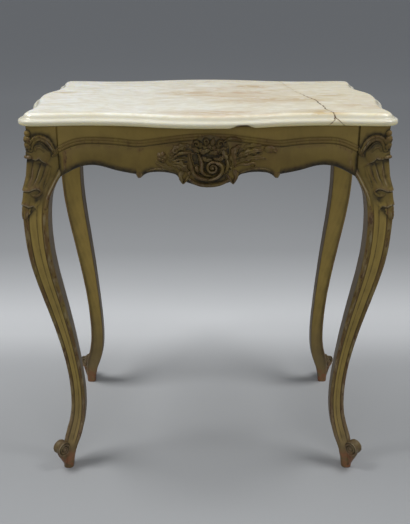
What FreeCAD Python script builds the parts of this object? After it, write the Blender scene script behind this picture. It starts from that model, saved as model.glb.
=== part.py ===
import FreeCAD, Part
import math
import os

import Sketcher
from FreeCAD import Placement, Rotation, Vector

# Pier table: an onyx slab lying loose on a carved frame of four cabriole legs and four shaped rails.
# Millimetres, +Z up, origin on the floor under the middle of the table, the front towards -Y.

SIZES = [
    # Onyx slab. Its ears are the rounded lobes at the corners, its hollows lie beside them.
    ("stone_overhang_x", 1.0, "front ears beyond the knee line, left and right"),
    ("stone_back_draw", 12.0, "back ears stand in from the front ears, left and right"),
    ("stone_overhang_y", -6.0, "ears beyond the knee line, front and back"),
    ("stone_ear_radius", 28.0, "corner of an ear"),
    ("stone_hollow_depth", 7.0, "hollow behind the crest of an ear"),
    ("stone_hollow_x", 208.0, "middle of the front to its hollow"),
    ("stone_hollow_y", 118.0, "middle of a side to its hollow"),
    ("stone_bow_front", 29.0, "front bow, forward of its hollows"),
    ("stone_bow_side", 12.0, "side bow, outward of its front hollow"),
    ("stone_thick", 20.0, "whole slab"),
    ("stone_nose", 10.5, "height of the moulded lower edge"),
    ("stone_ledge", 8.5, "field stands back from the nose"),
    ("stone_nose_round", 4.5, "upper round of the nose"),
    ("stone_under_round", 4.0, "lower round of the nose"),
    ("stone_field_round", 5.0, "round at the edge of the field"),
    # Legs. Each is sawn to one profile on two sides, given by square sections from the floor up:
    # the rise above the section below, the inset from the knee line and the thickness.
    ("knee_span_x", 660.0, "over the knees, left to right"),
    ("knee_span_y", 430.0, "over the knees, front to back"),
    ("foot_inset", 29.5, "from the knee line"),
    ("foot_thick", 20.0, "side of the square"),
    ("heel_rise", 40.0, "above the section below"),
    ("heel_inset", 30.5, "from the knee line"),
    ("heel_thick", 26.5, "side of the square"),
    ("neck_rise", 30.0, "above the section below"),
    ("neck_inset", 36.5, "from the knee line"),
    ("neck_thick", 31.2, "side of the square"),
    ("instep_rise", 35.0, "above the section below"),
    ("instep_inset", 46.6, "from the knee line"),
    ("instep_thick", 29.6, "side of the square"),
    ("ankle_rise", 55.0, "above the section below"),
    ("ankle_inset", 52.2, "from the knee line"),
    ("ankle_thick", 27.4, "side of the square"),
    ("shin_low_rise", 60.0, "above the section below"),
    ("shin_low_inset", 49.4, "from the knee line"),
    ("shin_low_thick", 27.1, "side of the square"),
    ("shin_rise", 80.0, "above the section below"),
    ("shin_inset", 38.0, "from the knee line"),
    ("shin_thick", 30.5, "side of the square"),
    ("shin_high_rise", 90.0, "above the section below"),
    ("shin_high_inset", 20.0, "from the knee line"),
    ("shin_high_thick", 36.5, "side of the square"),
    ("calf_rise", 80.0, "above the section below"),
    ("calf_inset", 5.3, "from the knee line"),
    ("calf_thick", 40.8, "side of the square"),
    ("knee_rise", 60.0, "above the section below"),
    ("knee_inset", 0.8, "from the knee line"),
    ("knee_thick", 42.6, "side of the square"),
    ("knee_top_rise", 45.0, "above the section below"),
    ("knee_top_inset", 3.0, "from the knee line"),
    ("knee_top_thick", 43.0, "side of the square"),
    ("arch_rise", 29.0, "above the section below"),
    ("arch_inset", 9.0, "from the knee line"),
    ("arch_thick", 44.0, "side of the square"),
    ("stile_rise", 25.0, "above the section below"),
    ("stile_inset", 14.0, "from the knee line"),
    ("stile_thick", 54.6, "square post behind the knee block"),
    ("stile_height", 91.0, "straight post that takes the rails"),
    ("scroll_radius", 15.0, "rolled toe"),
    ("scroll_length", 22.0, "across the toe"),
    ("scroll_inset", 30.0, "axis from both knee lines"),
    ("scroll_height", 49.5, "axis above the floor"),
    # Rails. A drop is measured down from the top of the frame. A share is of half the rail's length,
    # so that the lower edge and the serpentine stretch with the rail.
    ("rail_thick", 24.0, "at the ends"),
    ("front_bow", 20.0, "forward of the hollows"),
    ("front_hollow_share", 0.708, "middle of the rail to its hollow"),
    ("front_tooth_share", 0.17, "middle of the rail to the teeth beside its lobe"),
    ("front_tooth_drop", 101.5, "points of the teeth"),
    ("front_barb_share", 0.465, "middle of the rail to the outer barbs"),
    ("front_barb_drop", 94.0, "points of the barbs"),
    ("front_barb_width", 6.0, "outer flank"),
    ("front_barb_height", 7.0, "outer flank"),
    ("front_lobe_radius_share", 0.811, "lower edge of the centre lobe"),
    ("front_scallop_radius_share", 0.2055, "between tooth and barb"),
    ("front_arch_radius_share", 0.5375, "between barb and leg"),
    ("side_bow", 8.0, "outward of the hollows"),
    ("side_hollow_share", 0.683, "middle of the rail to its hollow"),
    ("side_tooth_share", 0.17, "middle of the rail to the teeth beside its lobe"),
    ("side_tooth_drop", 101.5, "points of the teeth"),
    ("side_barb_share", 0.465, "middle of the rail to the outer barbs"),
    ("side_barb_drop", 94.0, "points of the barbs"),
    ("side_barb_width", 3.5, "outer flank"),
    ("side_barb_height", 7.0, "outer flank"),
    ("side_lobe_radius_share", 0.467, "lower edge of the centre lobe"),
    ("side_scallop_radius_share", 0.157, "between tooth and barb"),
    ("side_arch_radius_share", 0.341, "between barb and leg"),
    # Glued carvings. The back of each is hollowed to the rail's face.
    ("front_carving_wing", 104.0, "half the width over the tips"),
    ("front_carving_tip_drop", 48.0, "points of the wings"),
    ("front_carving_crest_drop", 12.0, "highest point"),
    ("front_carving_foot", 46.0, "half the width of the lower lobe"),
    ("front_carving_foot_drop", 96.0, "ends of the lower lobe"),
    ("front_carving_back_radius", 180.0, "upper edge"),
    ("front_carving_waist_radius", 70.0, "hollow between tip and lobe"),
    ("front_carving_lobe_radius", 115.0, "lower edge"),
    ("front_carving_relief", 7.0, "leaves, proud of the rail's bow"),
    ("front_carving_boss_radius", 34.0, "volute in the middle"),
    ("front_carving_boss_drop", 70.0, "middle of the volute"),
    ("front_carving_boss_relief", 14.0, "proud of the rail's bow"),
    ("side_carving_wing", 58.0, "half the width over the tips"),
    ("side_carving_tip_drop", 50.0, "points of the wings"),
    ("side_carving_crest_drop", 21.0, "highest point"),
    ("side_carving_foot", 25.0, "half the width of the lower lobe"),
    ("side_carving_foot_drop", 93.0, "ends of the lower lobe"),
    ("side_carving_back_radius", 90.0, "upper edge"),
    ("side_carving_waist_radius", 45.0, "hollow between tip and lobe"),
    ("side_carving_lobe_radius", 50.0, "lower edge"),
    ("side_carving_relief", 6.0, "leaves, proud of the rail's bow"),
    ("side_carving_boss_radius", 21.0, "volute in the middle"),
    ("side_carving_boss_drop", 66.0, "middle of the volute"),
    ("side_carving_boss_relief", 11.0, "proud of the rail's bow"),
    # Joinery.
    ("dowel_radius", 5.0, "beech dowel"),
    ("dowel_depth", 30.0, "into the rail and into the leg"),
    ("dowel_upper_drop", 22.0, "upper of each pair"),
    ("dowel_lower_drop", 64.0, "lower of each pair"),
    ("glue_gap", 0.1, "round a dowel, a screw or a housed batten"),
    ("block_reach", 55.0, "corner block along each rail"),
    ("block_height", 60.0, "of the glue block"),
    ("block_drop", 10.0, "top of a corner block"),
    ("screw_radius", 2.0, "shank"),
    ("screw_head_radius", 4.0, "countersunk head"),
    ("screw_head_depth", 2.6, "countersunk"),
    ("screw_length", 38.0, "over all"),
    ("screw_spread", 30.0, "between the two screws of a block"),
    ("bearer_width", 60.0, "batten"),
    ("bearer_height", 20.0, "batten"),
    ("bearer_housing", 9.0, "into the front and back rails"),
    ("cut_margin", 5.0, "waste cuts run past the wood"),
]

STATIONS = ("foot", "heel", "neck", "instep", "ankle", "shin_low", "shin", "shin_high", "calf", "knee",
            "knee_top", "arch", "stile")
LEFT_RIGHT = Vector(1, 0, 0)
FRONT_BACK = Vector(0, 1, 0)
INWARD = Vector(1, 1, 0)
ACROSS_TOE = Vector(1, -1, 0)
OUTWARD = Vector(0, -1, 0)
UP = Vector(0, 0, 1)
ROOT_HALF = math.sqrt(0.5)
FLAT = 1e-4
FRONT_TURN = 0.0
LEFT_TURN = -90.0

doc = FreeCAD.newDocument("pier_table")
sheet = doc.addObject("Spreadsheet::Sheet", "Sizes")


class Size:
    """A length: its formula over the sheet's cells, and its value now."""

    def __init__(self, formula, value):
        self.formula = formula
        self.value = value

    def __add__(self, other):
        other = as_size(other)
        return Size(f"({self.formula} + {other.formula})", self.value + other.value)

    def __sub__(self, other):
        other = as_size(other)
        return Size(f"({self.formula} - {other.formula})", self.value - other.value)

    def __mul__(self, other):
        other = as_size(other)
        return Size(f"({self.formula} * {other.formula})", self.value * other.value)

    def __truediv__(self, other):
        other = as_size(other)
        return Size(f"({self.formula} / {other.formula})", self.value / other.value)

    def __neg__(self):
        return Size(f"(-1 * {self.formula})", -self.value)

    def root(self):
        return Size(f"sqrt({self.formula})", math.sqrt(self.value))


def as_size(number):
    """A bare number, such as the 2 of a half, beside the sheet's lengths."""
    return number if isinstance(number, Size) else Size(repr(float(number)), float(number))


def size(alias):
    return Size(f"Sizes.{alias}", float(sheet.get(alias)))


def fill_sheet():
    for row, (alias, number, note) in enumerate(SIZES, start=1):
        sheet.set(f"A{row}", alias)
        sheet.set(f"B{row}", str(number))
        sheet.setAlias(f"B{row}", alias)
        sheet.set(f"C{row}", note)
    doc.recompute()


def bind(target, **lengths):
    """Ties properties to the sheet. A double underscore stands for the dot of a path."""
    for name, length in lengths.items():
        target.setExpression(name.replace("__", "."), as_size(length).formula)


def place(target, path, x, y, z):
    """Ties the three coordinates of a placement to the sheet."""
    for axis, length in zip("xyz", (x, y, z)):
        target.setExpression(f"{path}.Base.{axis}", as_size(length).formula)


def new_body(name):
    body = doc.addObject("PartDesign::Body", name)
    body.Label = name
    return body


def attach(feature, body, role):
    plane = next(item for item in body.Origin.OriginFeatures if item.Role == role)
    feature.AttachmentSupport = (plane, [""])
    feature.MapMode = "FlatFace"


class Vertex:
    """The points of a line, arc or circle, by the numbers that constraints use."""

    START = 1
    END = 2
    CENTRE = 3


class Outline:
    """A sketch of lines, arcs and circles whose corners and radii are tied to the sheet."""

    def __init__(self, body, name, role, offset=0.0):
        self.sketch = body.newObject("Sketcher::SketchObject", name)
        attach(self.sketch, body, role)
        bind(self.sketch, AttachmentOffset__Base__z=offset)
        self.first = None
        self.first_at = None
        self.last = None
        self.at = None

    def _tie(self, constraint, formula):
        index = self.sketch.addConstraint(constraint)
        self.sketch.setExpression(f"Constraints[{index}]", formula)

    def _pin(self, geometry, point, x, y):
        """Holds one point of the sketch at x, y."""
        for kind, axis, length in (("DistanceX", -2, x), ("DistanceY", -1, y)):
            if abs(length.value) < FLAT:
                self.sketch.addConstraint(Sketcher.Constraint("PointOnObject", geometry, point, axis))
            elif length.value > 0:
                self._tie(Sketcher.Constraint(kind, -1, 1, geometry, point, length.value), length.formula)
            else:
                positive = -length
                self._tie(Sketcher.Constraint(kind, geometry, point, -1, 1, positive.value), positive.formula)

    def _join(self, geometry, start_point, end_point, x, y):
        if self.last is not None:
            link = Sketcher.Constraint("Coincident", *self.last, geometry, start_point)
            self.sketch.addConstraint(link)
        else:
            self.first = (geometry, start_point)
            self._pin(geometry, start_point, *self.at)
        first_x, first_y = self.first_at
        if math.dist((x.value, y.value), (first_x.value, first_y.value)) < FLAT:
            self.sketch.addConstraint(Sketcher.Constraint("Coincident", geometry, end_point, *self.first))
        else:
            self._pin(geometry, end_point, x, y)
        self.last = (geometry, end_point)
        self.at = (x, y)

    def start(self, x, y):
        self.at = (as_size(x), as_size(y))
        self.first_at = self.at
        return self

    def line_to(self, x, y):
        x, y = as_size(x), as_size(y)
        ends = [Vector(point[0].value, point[1].value, 0) for point in (self.at, (x, y))]
        geometry = self.sketch.addGeometry(Part.LineSegment(*ends), False)
        self._join(geometry, Vertex.START, Vertex.END, x, y)
        return self

    def arc_to(self, x, y, radius, turns_left):
        """The shorter arc of that radius from the last corner to x, y."""
        x, y = as_size(x), as_size(y)
        start = Vector(self.at[0].value, self.at[1].value, 0)
        end = Vector(x.value, y.value, 0)
        chord = end - start
        rise = math.sqrt(radius.value ** 2 - (chord.Length / 2) ** 2)
        left = Vector(-chord.y, chord.x, 0).normalize()
        centre = (start + end) * 0.5 + left * (rise if turns_left else -rise)
        first, second = (start, end) if turns_left else (end, start)
        angles = [math.atan2(point.y - centre.y, point.x - centre.x) for point in (first, second)]
        circle = Part.Circle(centre, UP, radius.value)
        geometry = self.sketch.addGeometry(Part.ArcOfCircle(circle, *angles), False)
        points = (Vertex.START, Vertex.END) if turns_left else (Vertex.END, Vertex.START)
        self._join(geometry, *points, x, y)
        self._tie(Sketcher.Constraint("Radius", geometry, radius.value), radius.formula)
        return self

    def circle(self, x, y, radius):
        x, y = as_size(x), as_size(y)
        geometry = self.sketch.addGeometry(Part.Circle(Vector(x.value, y.value, 0), UP, radius.value), False)
        self._pin(geometry, Vertex.CENTRE, x, y)
        self._tie(Sketcher.Constraint("Radius", geometry, radius.value), radius.formula)
        return self


def pad(body, name, sketch, length, reverse=False):
    feature = body.newObject("PartDesign::Pad", name)
    feature.Profile = sketch
    feature.Reversed = reverse
    bind(feature, Length=length)
    return feature


def pocket(body, name, sketch, length, reverse=False):
    """Cuts a sketch out of the body and makes sure that it removed something."""
    doc.recompute()
    before = body.Shape.Volume
    feature = body.newObject("PartDesign::Pocket", name)
    feature.Profile = sketch
    feature.Reversed = reverse
    bind(feature, Length=length)
    doc.recompute()
    if body.Shape.Volume >= before:
        raise RuntimeError(f"{name} removes nothing from {body.Label}")
    return feature


def drilled(body, kind, name, base, direction, **lengths):
    """A primitive of the body whose own +Z points along direction from base."""
    feature = body.newObject(f"PartDesign::{kind}", name)
    attach(feature, body, "XY_Plane")
    feature.AttachmentOffset = Placement(Vector(), Rotation(UP, direction))
    place(feature, "AttachmentOffset", *base)
    bind(feature, **lengths)
    return feature


def mirrored(source, label, normal):
    copy = doc.addObject("Part::Mirroring", label)
    copy.Label = label
    copy.Source = source
    copy.Normal = normal
    copy.Base = Vector()
    return copy


def grouped(label, members):
    group = doc.addObject("Part::Compound", label)
    group.Label = label
    group.Links = members
    return group


def four_corners(front_left, stem):
    """The front left piece and its three mirror images, by node name."""
    front_right = mirrored(front_left, f"{stem}_front_right", LEFT_RIGHT)
    back_left = mirrored(front_left, f"{stem}_back_left", FRONT_BACK)
    back_right = mirrored(front_right, f"{stem}_back_right", FRONT_BACK)
    return [front_left, front_right, back_left, back_right]


def frame_top():
    """Height of the rails' and stiles' upper faces, on which the slab lies."""
    height = size("stile_height")
    for station in STATIONS[1:]:
        height = height + size(f"{station}_rise")
    return height


def knee_corner():
    """X and Y where the knee lines of the front left leg cross."""
    return -(size("knee_span_x") / 2), -(size("knee_span_y") / 2)


def stile_inner():
    return size("stile_inset") + size("stile_thick")


def rail_inner():
    return size("stile_inset") + size("rail_thick")


def cyma_radius(run, rise):
    """Radius of the two equal arcs of an S curve that is level at both ends."""
    return (run * run + rise * rise) / (rise * 4)


def slab_outline(body, name, level, inset):
    """The slab's outline: on each side an ear, a hollow, a bow, a hollow and an ear."""
    outline = Outline(body, name, "XY_Plane", level)
    half_front = size("knee_span_x") / 2 + size("stone_overhang_x") - inset
    half_back = half_front - size("stone_back_draw")
    half_y = size("knee_span_y") / 2 + size("stone_overhang_y") - inset
    corner = size("stone_ear_radius") - inset
    hollow_depth = size("stone_hollow_depth")
    long_peak = half_y - hollow_depth + size("stone_bow_front")
    short_peak = half_front - hollow_depth + size("stone_bow_side")
    for side, (along, first_out, last_out) in enumerate((
        (half_front, half_y, half_y), (half_y, half_front, half_back),
        (half_back, half_y, half_y), (half_y, half_back, half_front),
    )):
        hollow = size("stone_hollow_y") if side % 2 else size("stone_hollow_x")
        peak = short_peak if side % 2 else long_peak
        crest = along - corner
        ear = cyma_radius(crest - hollow, hollow_depth)
        ear_turn = (crest + hollow) / 2
        first_low, last_low = first_out - hollow_depth, last_out - hollow_depth
        first_wave = cyma_radius(hollow, peak - first_low)
        last_wave = cyma_radius(hollow, peak - last_low)
        if side == 0:
            outline.start(*slab_point(side, -crest, first_out))
        for run, reach, radius, turns_left in (
            (-ear_turn, first_out - hollow_depth / 2, ear, True),
            (-hollow, first_low, ear, False),
            (-hollow / 2, (first_low + peak) / 2, first_wave, False),
            (as_size(0), peak, first_wave, True),
            (hollow / 2, (last_low + peak) / 2, last_wave, True),
            (hollow, last_low, last_wave, False),
            (ear_turn, last_out - hollow_depth / 2, ear, False),
            (crest, last_out, ear, True),
            (along, last_out - corner, corner, True),
        ):
            outline.arc_to(*slab_point(side, run, reach), radius, turns_left)
    return outline.sketch


def slab_point(side, run, reach):
    """X and Y of a point given along a side and outward from the middle, front side first."""
    return ((run, -reach), (reach, run), (-run, reach), (-reach, -run))[side]


def rounded(body, name, base, height, radius):
    """Rounds every edge of base that lies in one level plane."""
    doc.recompute()
    edges = [f"Edge{number}" for number, edge in enumerate(base.Shape.Edges, start=1)
             if edge.BoundBox.ZLength < FLAT and abs(edge.BoundBox.ZMin - height.value) < FLAT]
    feature = body.newObject("PartDesign::Fillet", name)
    feature.Base = (base, edges)
    bind(feature, Radius=radius)
    return feature


def build_slab():
    """Onyx slab: a moulded nose with the raised field standing back on it."""
    body = new_body("onyx_top")
    bottom = frame_top()
    ledge = bottom + size("stone_nose")
    top = bottom + size("stone_thick")
    nose = pad(body, "nose", slab_outline(body, "nose_outline", bottom, as_size(0)), size("stone_nose"))
    nose = rounded(body, "under_round", nose, bottom, size("stone_under_round"))
    rounded(body, "nose_round", nose, ledge, size("stone_nose_round"))
    field = pad(body, "field", slab_outline(body, "field_outline", ledge, size("stone_ledge")), top - ledge)
    rounded(body, "field_round", field, top, size("stone_field_round"))
    return body


def build_leg():
    """Front left leg, sawn to the same profile on two sides, with its stile and rolled toe."""
    body = new_body("leg_front_left")
    place(body, "Placement", *knee_corner(), 0)
    sections = []
    height = as_size(0)
    for station in STATIONS:
        if station != STATIONS[0]:
            height = height + size(f"{station}_rise")
        near = size(f"{station}_inset")
        far = near + size(f"{station}_thick")
        square = Outline(body, f"{station}_section", "XY_Plane", height).start(near, near)
        square.line_to(far, near).line_to(far, far).line_to(near, far).line_to(near, near)
        sections.append(square.sketch)
    shank = body.newObject("PartDesign::AdditiveLoft", "shank")
    shank.Profile = sections[0]
    shank.Sections = sections[1:]
    pad(body, "stile", sections[-1], size("stile_height"))
    half_toe = size("scroll_length") * ROOT_HALF / 2
    toe = (size("scroll_inset") - half_toe, size("scroll_inset") + half_toe, size("scroll_height"))
    drilled(body, "AdditiveCylinder", "toe", toe, ACROSS_TOE,
            Radius=size("scroll_radius"), Height=size("scroll_length"))
    bore_leg(body)
    return body


def dowel_heights():
    return [frame_top() - size(drop) for drop in ("dowel_upper_drop", "dowel_lower_drop")]


def dowel_line():
    """Distance of the dowels' axes from the knee line: the middle of a rail's end."""
    return size("stile_inset") + size("rail_thick") / 2


def bore_leg(body):
    """Dowel holes in the two inner faces of the stile, and pilot holes for the corner screws."""
    radius = size("dowel_radius") + size("glue_gap")
    depth = size("dowel_depth") + size("glue_gap")
    for name, role, offset, reverse in (
        ("front_rail_holes", "YZ_Plane", stile_inner(), False),
        ("side_rail_holes", "XZ_Plane", -stile_inner(), True),
    ):
        holes = Outline(body, f"{name}_sketch", role, offset)
        for height in dowel_heights():
            holes.circle(dowel_line(), height, radius)
        pocket(body, name, holes.sketch, depth, reverse)
    for index, base in enumerate(screw_bases()):
        drilled(body, "SubtractiveCylinder", f"pilot_{index}", base, -INWARD,
                Radius=size("screw_radius") + size("glue_gap"),
                Height=size("screw_length") + size("glue_gap"))


def block_face():
    """Where the middle of a corner block's slant face lies, from both knee lines."""
    return (stile_inner() + size("block_reach") + rail_inner()) / 2


def screw_bases():
    """The middle of each corner screw's head, from the knee lines and the floor."""
    middle = frame_top() - size("block_drop") - size("block_height") / 2
    half_spread = size("screw_spread") / 2
    return [(block_face(), block_face(), height) for height in (middle - half_spread, middle + half_spread)]


def build_corner_block():
    """Glue block in the front left corner, notched round the stile."""
    body = new_body("corner_block_front_left")
    place(body, "Placement", *knee_corner(), 0)
    bottom = frame_top() - size("block_drop") - size("block_height")
    stile, rail = stile_inner(), rail_inner()
    far = stile + size("block_reach")
    outline = Outline(body, "block_outline", "XY_Plane", bottom).start(stile, rail)
    for corner in ((far, rail), (rail, far), (rail, stile), (stile, stile), (stile, rail)):
        outline.line_to(*corner)
    pad(body, "block", outline.sketch, size("block_height"))
    gap = size("glue_gap")
    for index, base in enumerate(screw_bases()):
        drilled(body, "SubtractiveCylinder", f"shank_hole_{index}", base, -INWARD,
                Radius=size("screw_radius") + gap, Height=size("screw_length"))
        drilled(body, "SubtractiveCone", f"head_seat_{index}", base, -INWARD,
                Radius1=size("screw_head_radius") + gap, Radius2=size("screw_radius") + gap,
                Height=size("screw_head_depth") + gap)
    return body


def build_corner_screws():
    """Two countersunk wood screws in each corner block, into the inner arris of the stile."""
    pair = []
    for index, base in enumerate(screw_bases()):
        body = new_body(f"screw_{index}")
        place(body, "Placement", *knee_corner(), 0)
        drilled(body, "AdditiveCone", "head", base, -INWARD, Radius1=size("screw_head_radius"),
                Radius2=size("screw_radius"), Height=size("screw_head_depth"))
        drilled(body, "AdditiveCylinder", "shank", base, -INWARD,
                Radius=size("screw_radius"), Height=size("screw_length"))
        pair.append(body)
    return grouped("corner_screws", four_corners(grouped("screw_pair", pair), "screw_pair"))


def build_dowels():
    """Dowels across the seams between rails and stiles, half in each."""
    corner_x, corner_y = knee_corner()
    start = stile_inner() - size("dowel_depth")
    line = dowel_line()
    corner = []
    for height in dowel_heights():
        for name, x, y, direction in (
            ("front_rail_dowel", corner_x + start, corner_y + line, LEFT_RIGHT),
            ("side_rail_dowel", corner_x + line, corner_y + start, FRONT_BACK),
        ):
            dowel = doc.addObject("Part::Cylinder", name)
            dowel.Placement = Placement(Vector(), Rotation(UP, direction))
            place(dowel, "Placement", x, y, height)
            bind(dowel, Radius=size("dowel_radius"), Height=size("dowel_depth") * 2)
            corner.append(dowel)
    return grouped("joint_dowels", four_corners(grouped("corner_dowels", corner), "corner_dowels"))


class RailPlan:
    """Where one pair of rails lies, in the frame of a rail that faces the front."""

    def __init__(self, prefix, span_along, span_out):
        self.prefix = prefix
        self.half_length = size(span_along) / 2 - stile_inner()
        self.face = size(span_out) / 2 - size("stile_inset")
        self.back = self.face - size("rail_thick")
        self.bow = self.size("bow")
        self.hollow = self.share("hollow")
        self.wave = cyma_radius(self.hollow, self.bow)
        beyond = self.half_length - self.hollow
        self.dip = self.wave - (self.wave * self.wave - beyond * beyond).root()

    def size(self, name):
        return size(f"{self.prefix}_{name}")

    def share(self, name):
        """A length given as a share of half the rail's length."""
        return self.half_length * self.size(f"{name}_share")

    def crest(self):
        """How far the middle of the bowed face lies from the middle of the table."""
        return self.face - self.dip + self.bow


def build_rail(label, plan, turn):
    """An apron rail: sawn to its scalloped elevation, then to its serpentine plan."""
    body = new_body(label)
    body.Placement = Placement(Vector(), Rotation(UP, turn))
    sketch = rail_elevation(body, plan)
    pad(body, "elevation", sketch, size("rail_thick") + plan.bow)
    pocket(body, "serpentine", rail_waste(body, plan), frame_top() + size("cut_margin"), True)
    radius = size("dowel_radius") + size("glue_gap")
    depth = size("dowel_depth") + size("glue_gap")
    line = -(plan.face - size("rail_thick") / 2)
    for name, end, reverse in (
        ("right_holes", plan.half_length, False),
        ("left_holes", -plan.half_length, True),
    ):
        holes = Outline(body, f"{name}_sketch", "YZ_Plane", end)
        for height in dowel_heights():
            holes.circle(line, height, radius)
        pocket(body, name, holes.sketch, depth, reverse)
    return body


def rail_elevation(body, plan):
    """Front view of a rail: centre lobe, teeth, scallops, barbs and the arches that run into the legs."""
    top = frame_top()
    end = plan.half_length
    foot = top - size("stile_height")
    tooth = plan.share("tooth"), top - plan.size("tooth_drop")
    barb = plan.share("barb"), top - plan.size("barb_drop")
    notch = barb[0] + plan.size("barb_width"), barb[1] + plan.size("barb_height")
    lobe, scallop, arch = (plan.share(f"{name}_radius") for name in ("lobe", "scallop", "arch"))
    outline = Outline(body, "elevation_outline", "XZ_Plane", plan.back).start(-end, top)
    outline.line_to(-end, foot)
    outline.arc_to(-notch[0], notch[1], arch, False)
    outline.line_to(-barb[0], barb[1])
    outline.arc_to(-tooth[0], tooth[1], scallop, False)
    outline.arc_to(*tooth, lobe, True)
    outline.arc_to(*barb, scallop, False)
    outline.line_to(*notch)
    outline.arc_to(end, foot, arch, False)
    outline.line_to(end, top).line_to(-end, top)
    return outline.sketch


def rail_waste(body, plan):
    """Plan view of the wood sawn away in front of a rail's serpentine face."""
    margin = size("cut_margin")
    end = plan.half_length
    turn_y = -(plan.face - plan.dip + plan.bow / 2)
    turn_x = plan.hollow / 2
    clear = -(plan.face + plan.bow + margin)
    waste = Outline(body, "waste_outline", "XY_Plane").start(-end - margin, clear)
    waste.line_to(end + margin, clear).line_to(end + margin, -plan.face).line_to(end, -plan.face)
    waste.arc_to(turn_x, turn_y, plan.wave, True)
    waste.arc_to(-turn_x, turn_y, plan.wave, False)
    waste.arc_to(-end, -plan.face, plan.wave, True)
    waste.line_to(-end - margin, -plan.face).line_to(-end - margin, clear)
    return waste.sketch


def house_bearer(rail, plan):
    """Notches the front rail's upper inner edge for the end of the batten."""
    gap = size("glue_gap")
    housing = rail.newObject("PartDesign::SubtractiveBox", "bearer_housing")
    attach(housing, rail, "XY_Plane")
    place(housing, "AttachmentOffset", -(size("bearer_width") / 2) - gap,
          -(plan.back + size("bearer_housing")) - gap, frame_top() - size("bearer_height"))
    bind(housing, Length=size("bearer_width") + gap * 2,
         Width=size("bearer_housing") + gap + size("cut_margin"),
         Height=size("bearer_height") + size("cut_margin"))


def build_bearer(plan):
    """Batten across the frame under the middle of the slab."""
    bearer = doc.addObject("Part::Box", "stone_bearer")
    bearer.Label = "stone_bearer"
    half = plan.back + size("bearer_housing")
    place(bearer, "Placement", -(size("bearer_width") / 2), -half, frame_top() - size("bearer_height"))
    bind(bearer, Length=size("bearer_width"), Width=half * 2, Height=size("bearer_height"))
    return bearer


def build_carving(label, plan, rail, turn):
    """Carved ornament on the middle of a rail: its blank, less the rail that it is glued to."""
    blank = new_body(f"{label}_blank")
    blank.Placement = Placement(Vector(), Rotation(UP, turn))
    top = frame_top()
    part = {name: plan.size(f"carving_{name}") for name in (
        "wing", "tip_drop", "crest_drop", "foot", "foot_drop", "back_radius", "waist_radius", "lobe_radius",
        "relief", "boss_radius", "boss_drop", "boss_relief")}
    crest = as_size(0), top - part["crest_drop"]
    tip = part["wing"], top - part["tip_drop"]
    foot = part["foot"], top - part["foot_drop"]
    seat = plan.back + size("bearer_housing") + size("glue_gap") * 2
    outline = Outline(blank, "carving_outline", "XZ_Plane", seat).start(*crest)
    outline.arc_to(-tip[0], tip[1], part["back_radius"], True)
    outline.arc_to(-foot[0], foot[1], part["waist_radius"], False)
    outline.arc_to(*foot, part["lobe_radius"], True)
    outline.arc_to(*tip, part["waist_radius"], False)
    outline.arc_to(*crest, part["back_radius"], True)
    depth = plan.crest() - seat
    pad(blank, "leaves", outline.sketch, depth + part["relief"])
    drilled(blank, "AdditiveCylinder", "volute", (0, -seat, top - part["boss_drop"]), OUTWARD,
            Radius=part["boss_radius"], Height=depth + part["boss_relief"])
    carving = doc.addObject("Part::Cut", label)
    carving.Label = label
    carving.Base = blank
    carving.Tool = rail
    return carving


def check_and_write(nodes):
    """Stops if anything failed, then writes one file for each node."""
    doc.recompute()
    for item in doc.Objects:
        if "Invalid" in item.State or "Error" in item.State:
            raise RuntimeError(f"{item.Label} failed: {item.State}")
    for node in nodes:
        if node.Shape.isNull() or not node.Shape.isValid():
            raise RuntimeError(f"{node.Label} has no valid shape")
    os.makedirs("parts", exist_ok=True)
    for node in nodes:
        node.Shape.exportStep(f"parts/{node.Label}.step")
        print(node.Label, len(node.Shape.Solids), "solids", round(node.Shape.Volume / 1000, 1), "cm3")


def main():
    fill_sheet()
    front_plan = RailPlan("front", "knee_span_x", "knee_span_y")
    side_plan = RailPlan("side", "knee_span_y", "knee_span_x")
    nodes = [build_slab()]
    nodes += four_corners(build_leg(), "leg")
    front_rail = build_rail("front_rail", front_plan, FRONT_TURN)
    house_bearer(front_rail, front_plan)
    left_rail = build_rail("left_rail", side_plan, LEFT_TURN)
    nodes += [front_rail, mirrored(front_rail, "back_rail", FRONT_BACK)]
    nodes += [left_rail, mirrored(left_rail, "right_rail", LEFT_RIGHT)]
    front_carving = build_carving("front_cartouche", front_plan, front_rail, FRONT_TURN)
    left_carving = build_carving("left_cartouche", side_plan, left_rail, LEFT_TURN)
    nodes += [front_carving, mirrored(front_carving, "back_cartouche", FRONT_BACK)]
    nodes += [left_carving, mirrored(left_carving, "right_cartouche", LEFT_RIGHT)]
    nodes += four_corners(build_corner_block(), "corner_block")
    nodes += [build_corner_screws(), build_dowels(), build_bearer(front_plan)]
    check_and_write(nodes)


main()
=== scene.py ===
"""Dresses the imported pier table: onyx slab, carved olive-gilt frame, hidden joinery and a plain studio."""

from __future__ import annotations

import logging
import math
from dataclasses import dataclass
from enum import Enum
from functools import cached_property
from itertools import product
from typing import Any, Sequence

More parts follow.
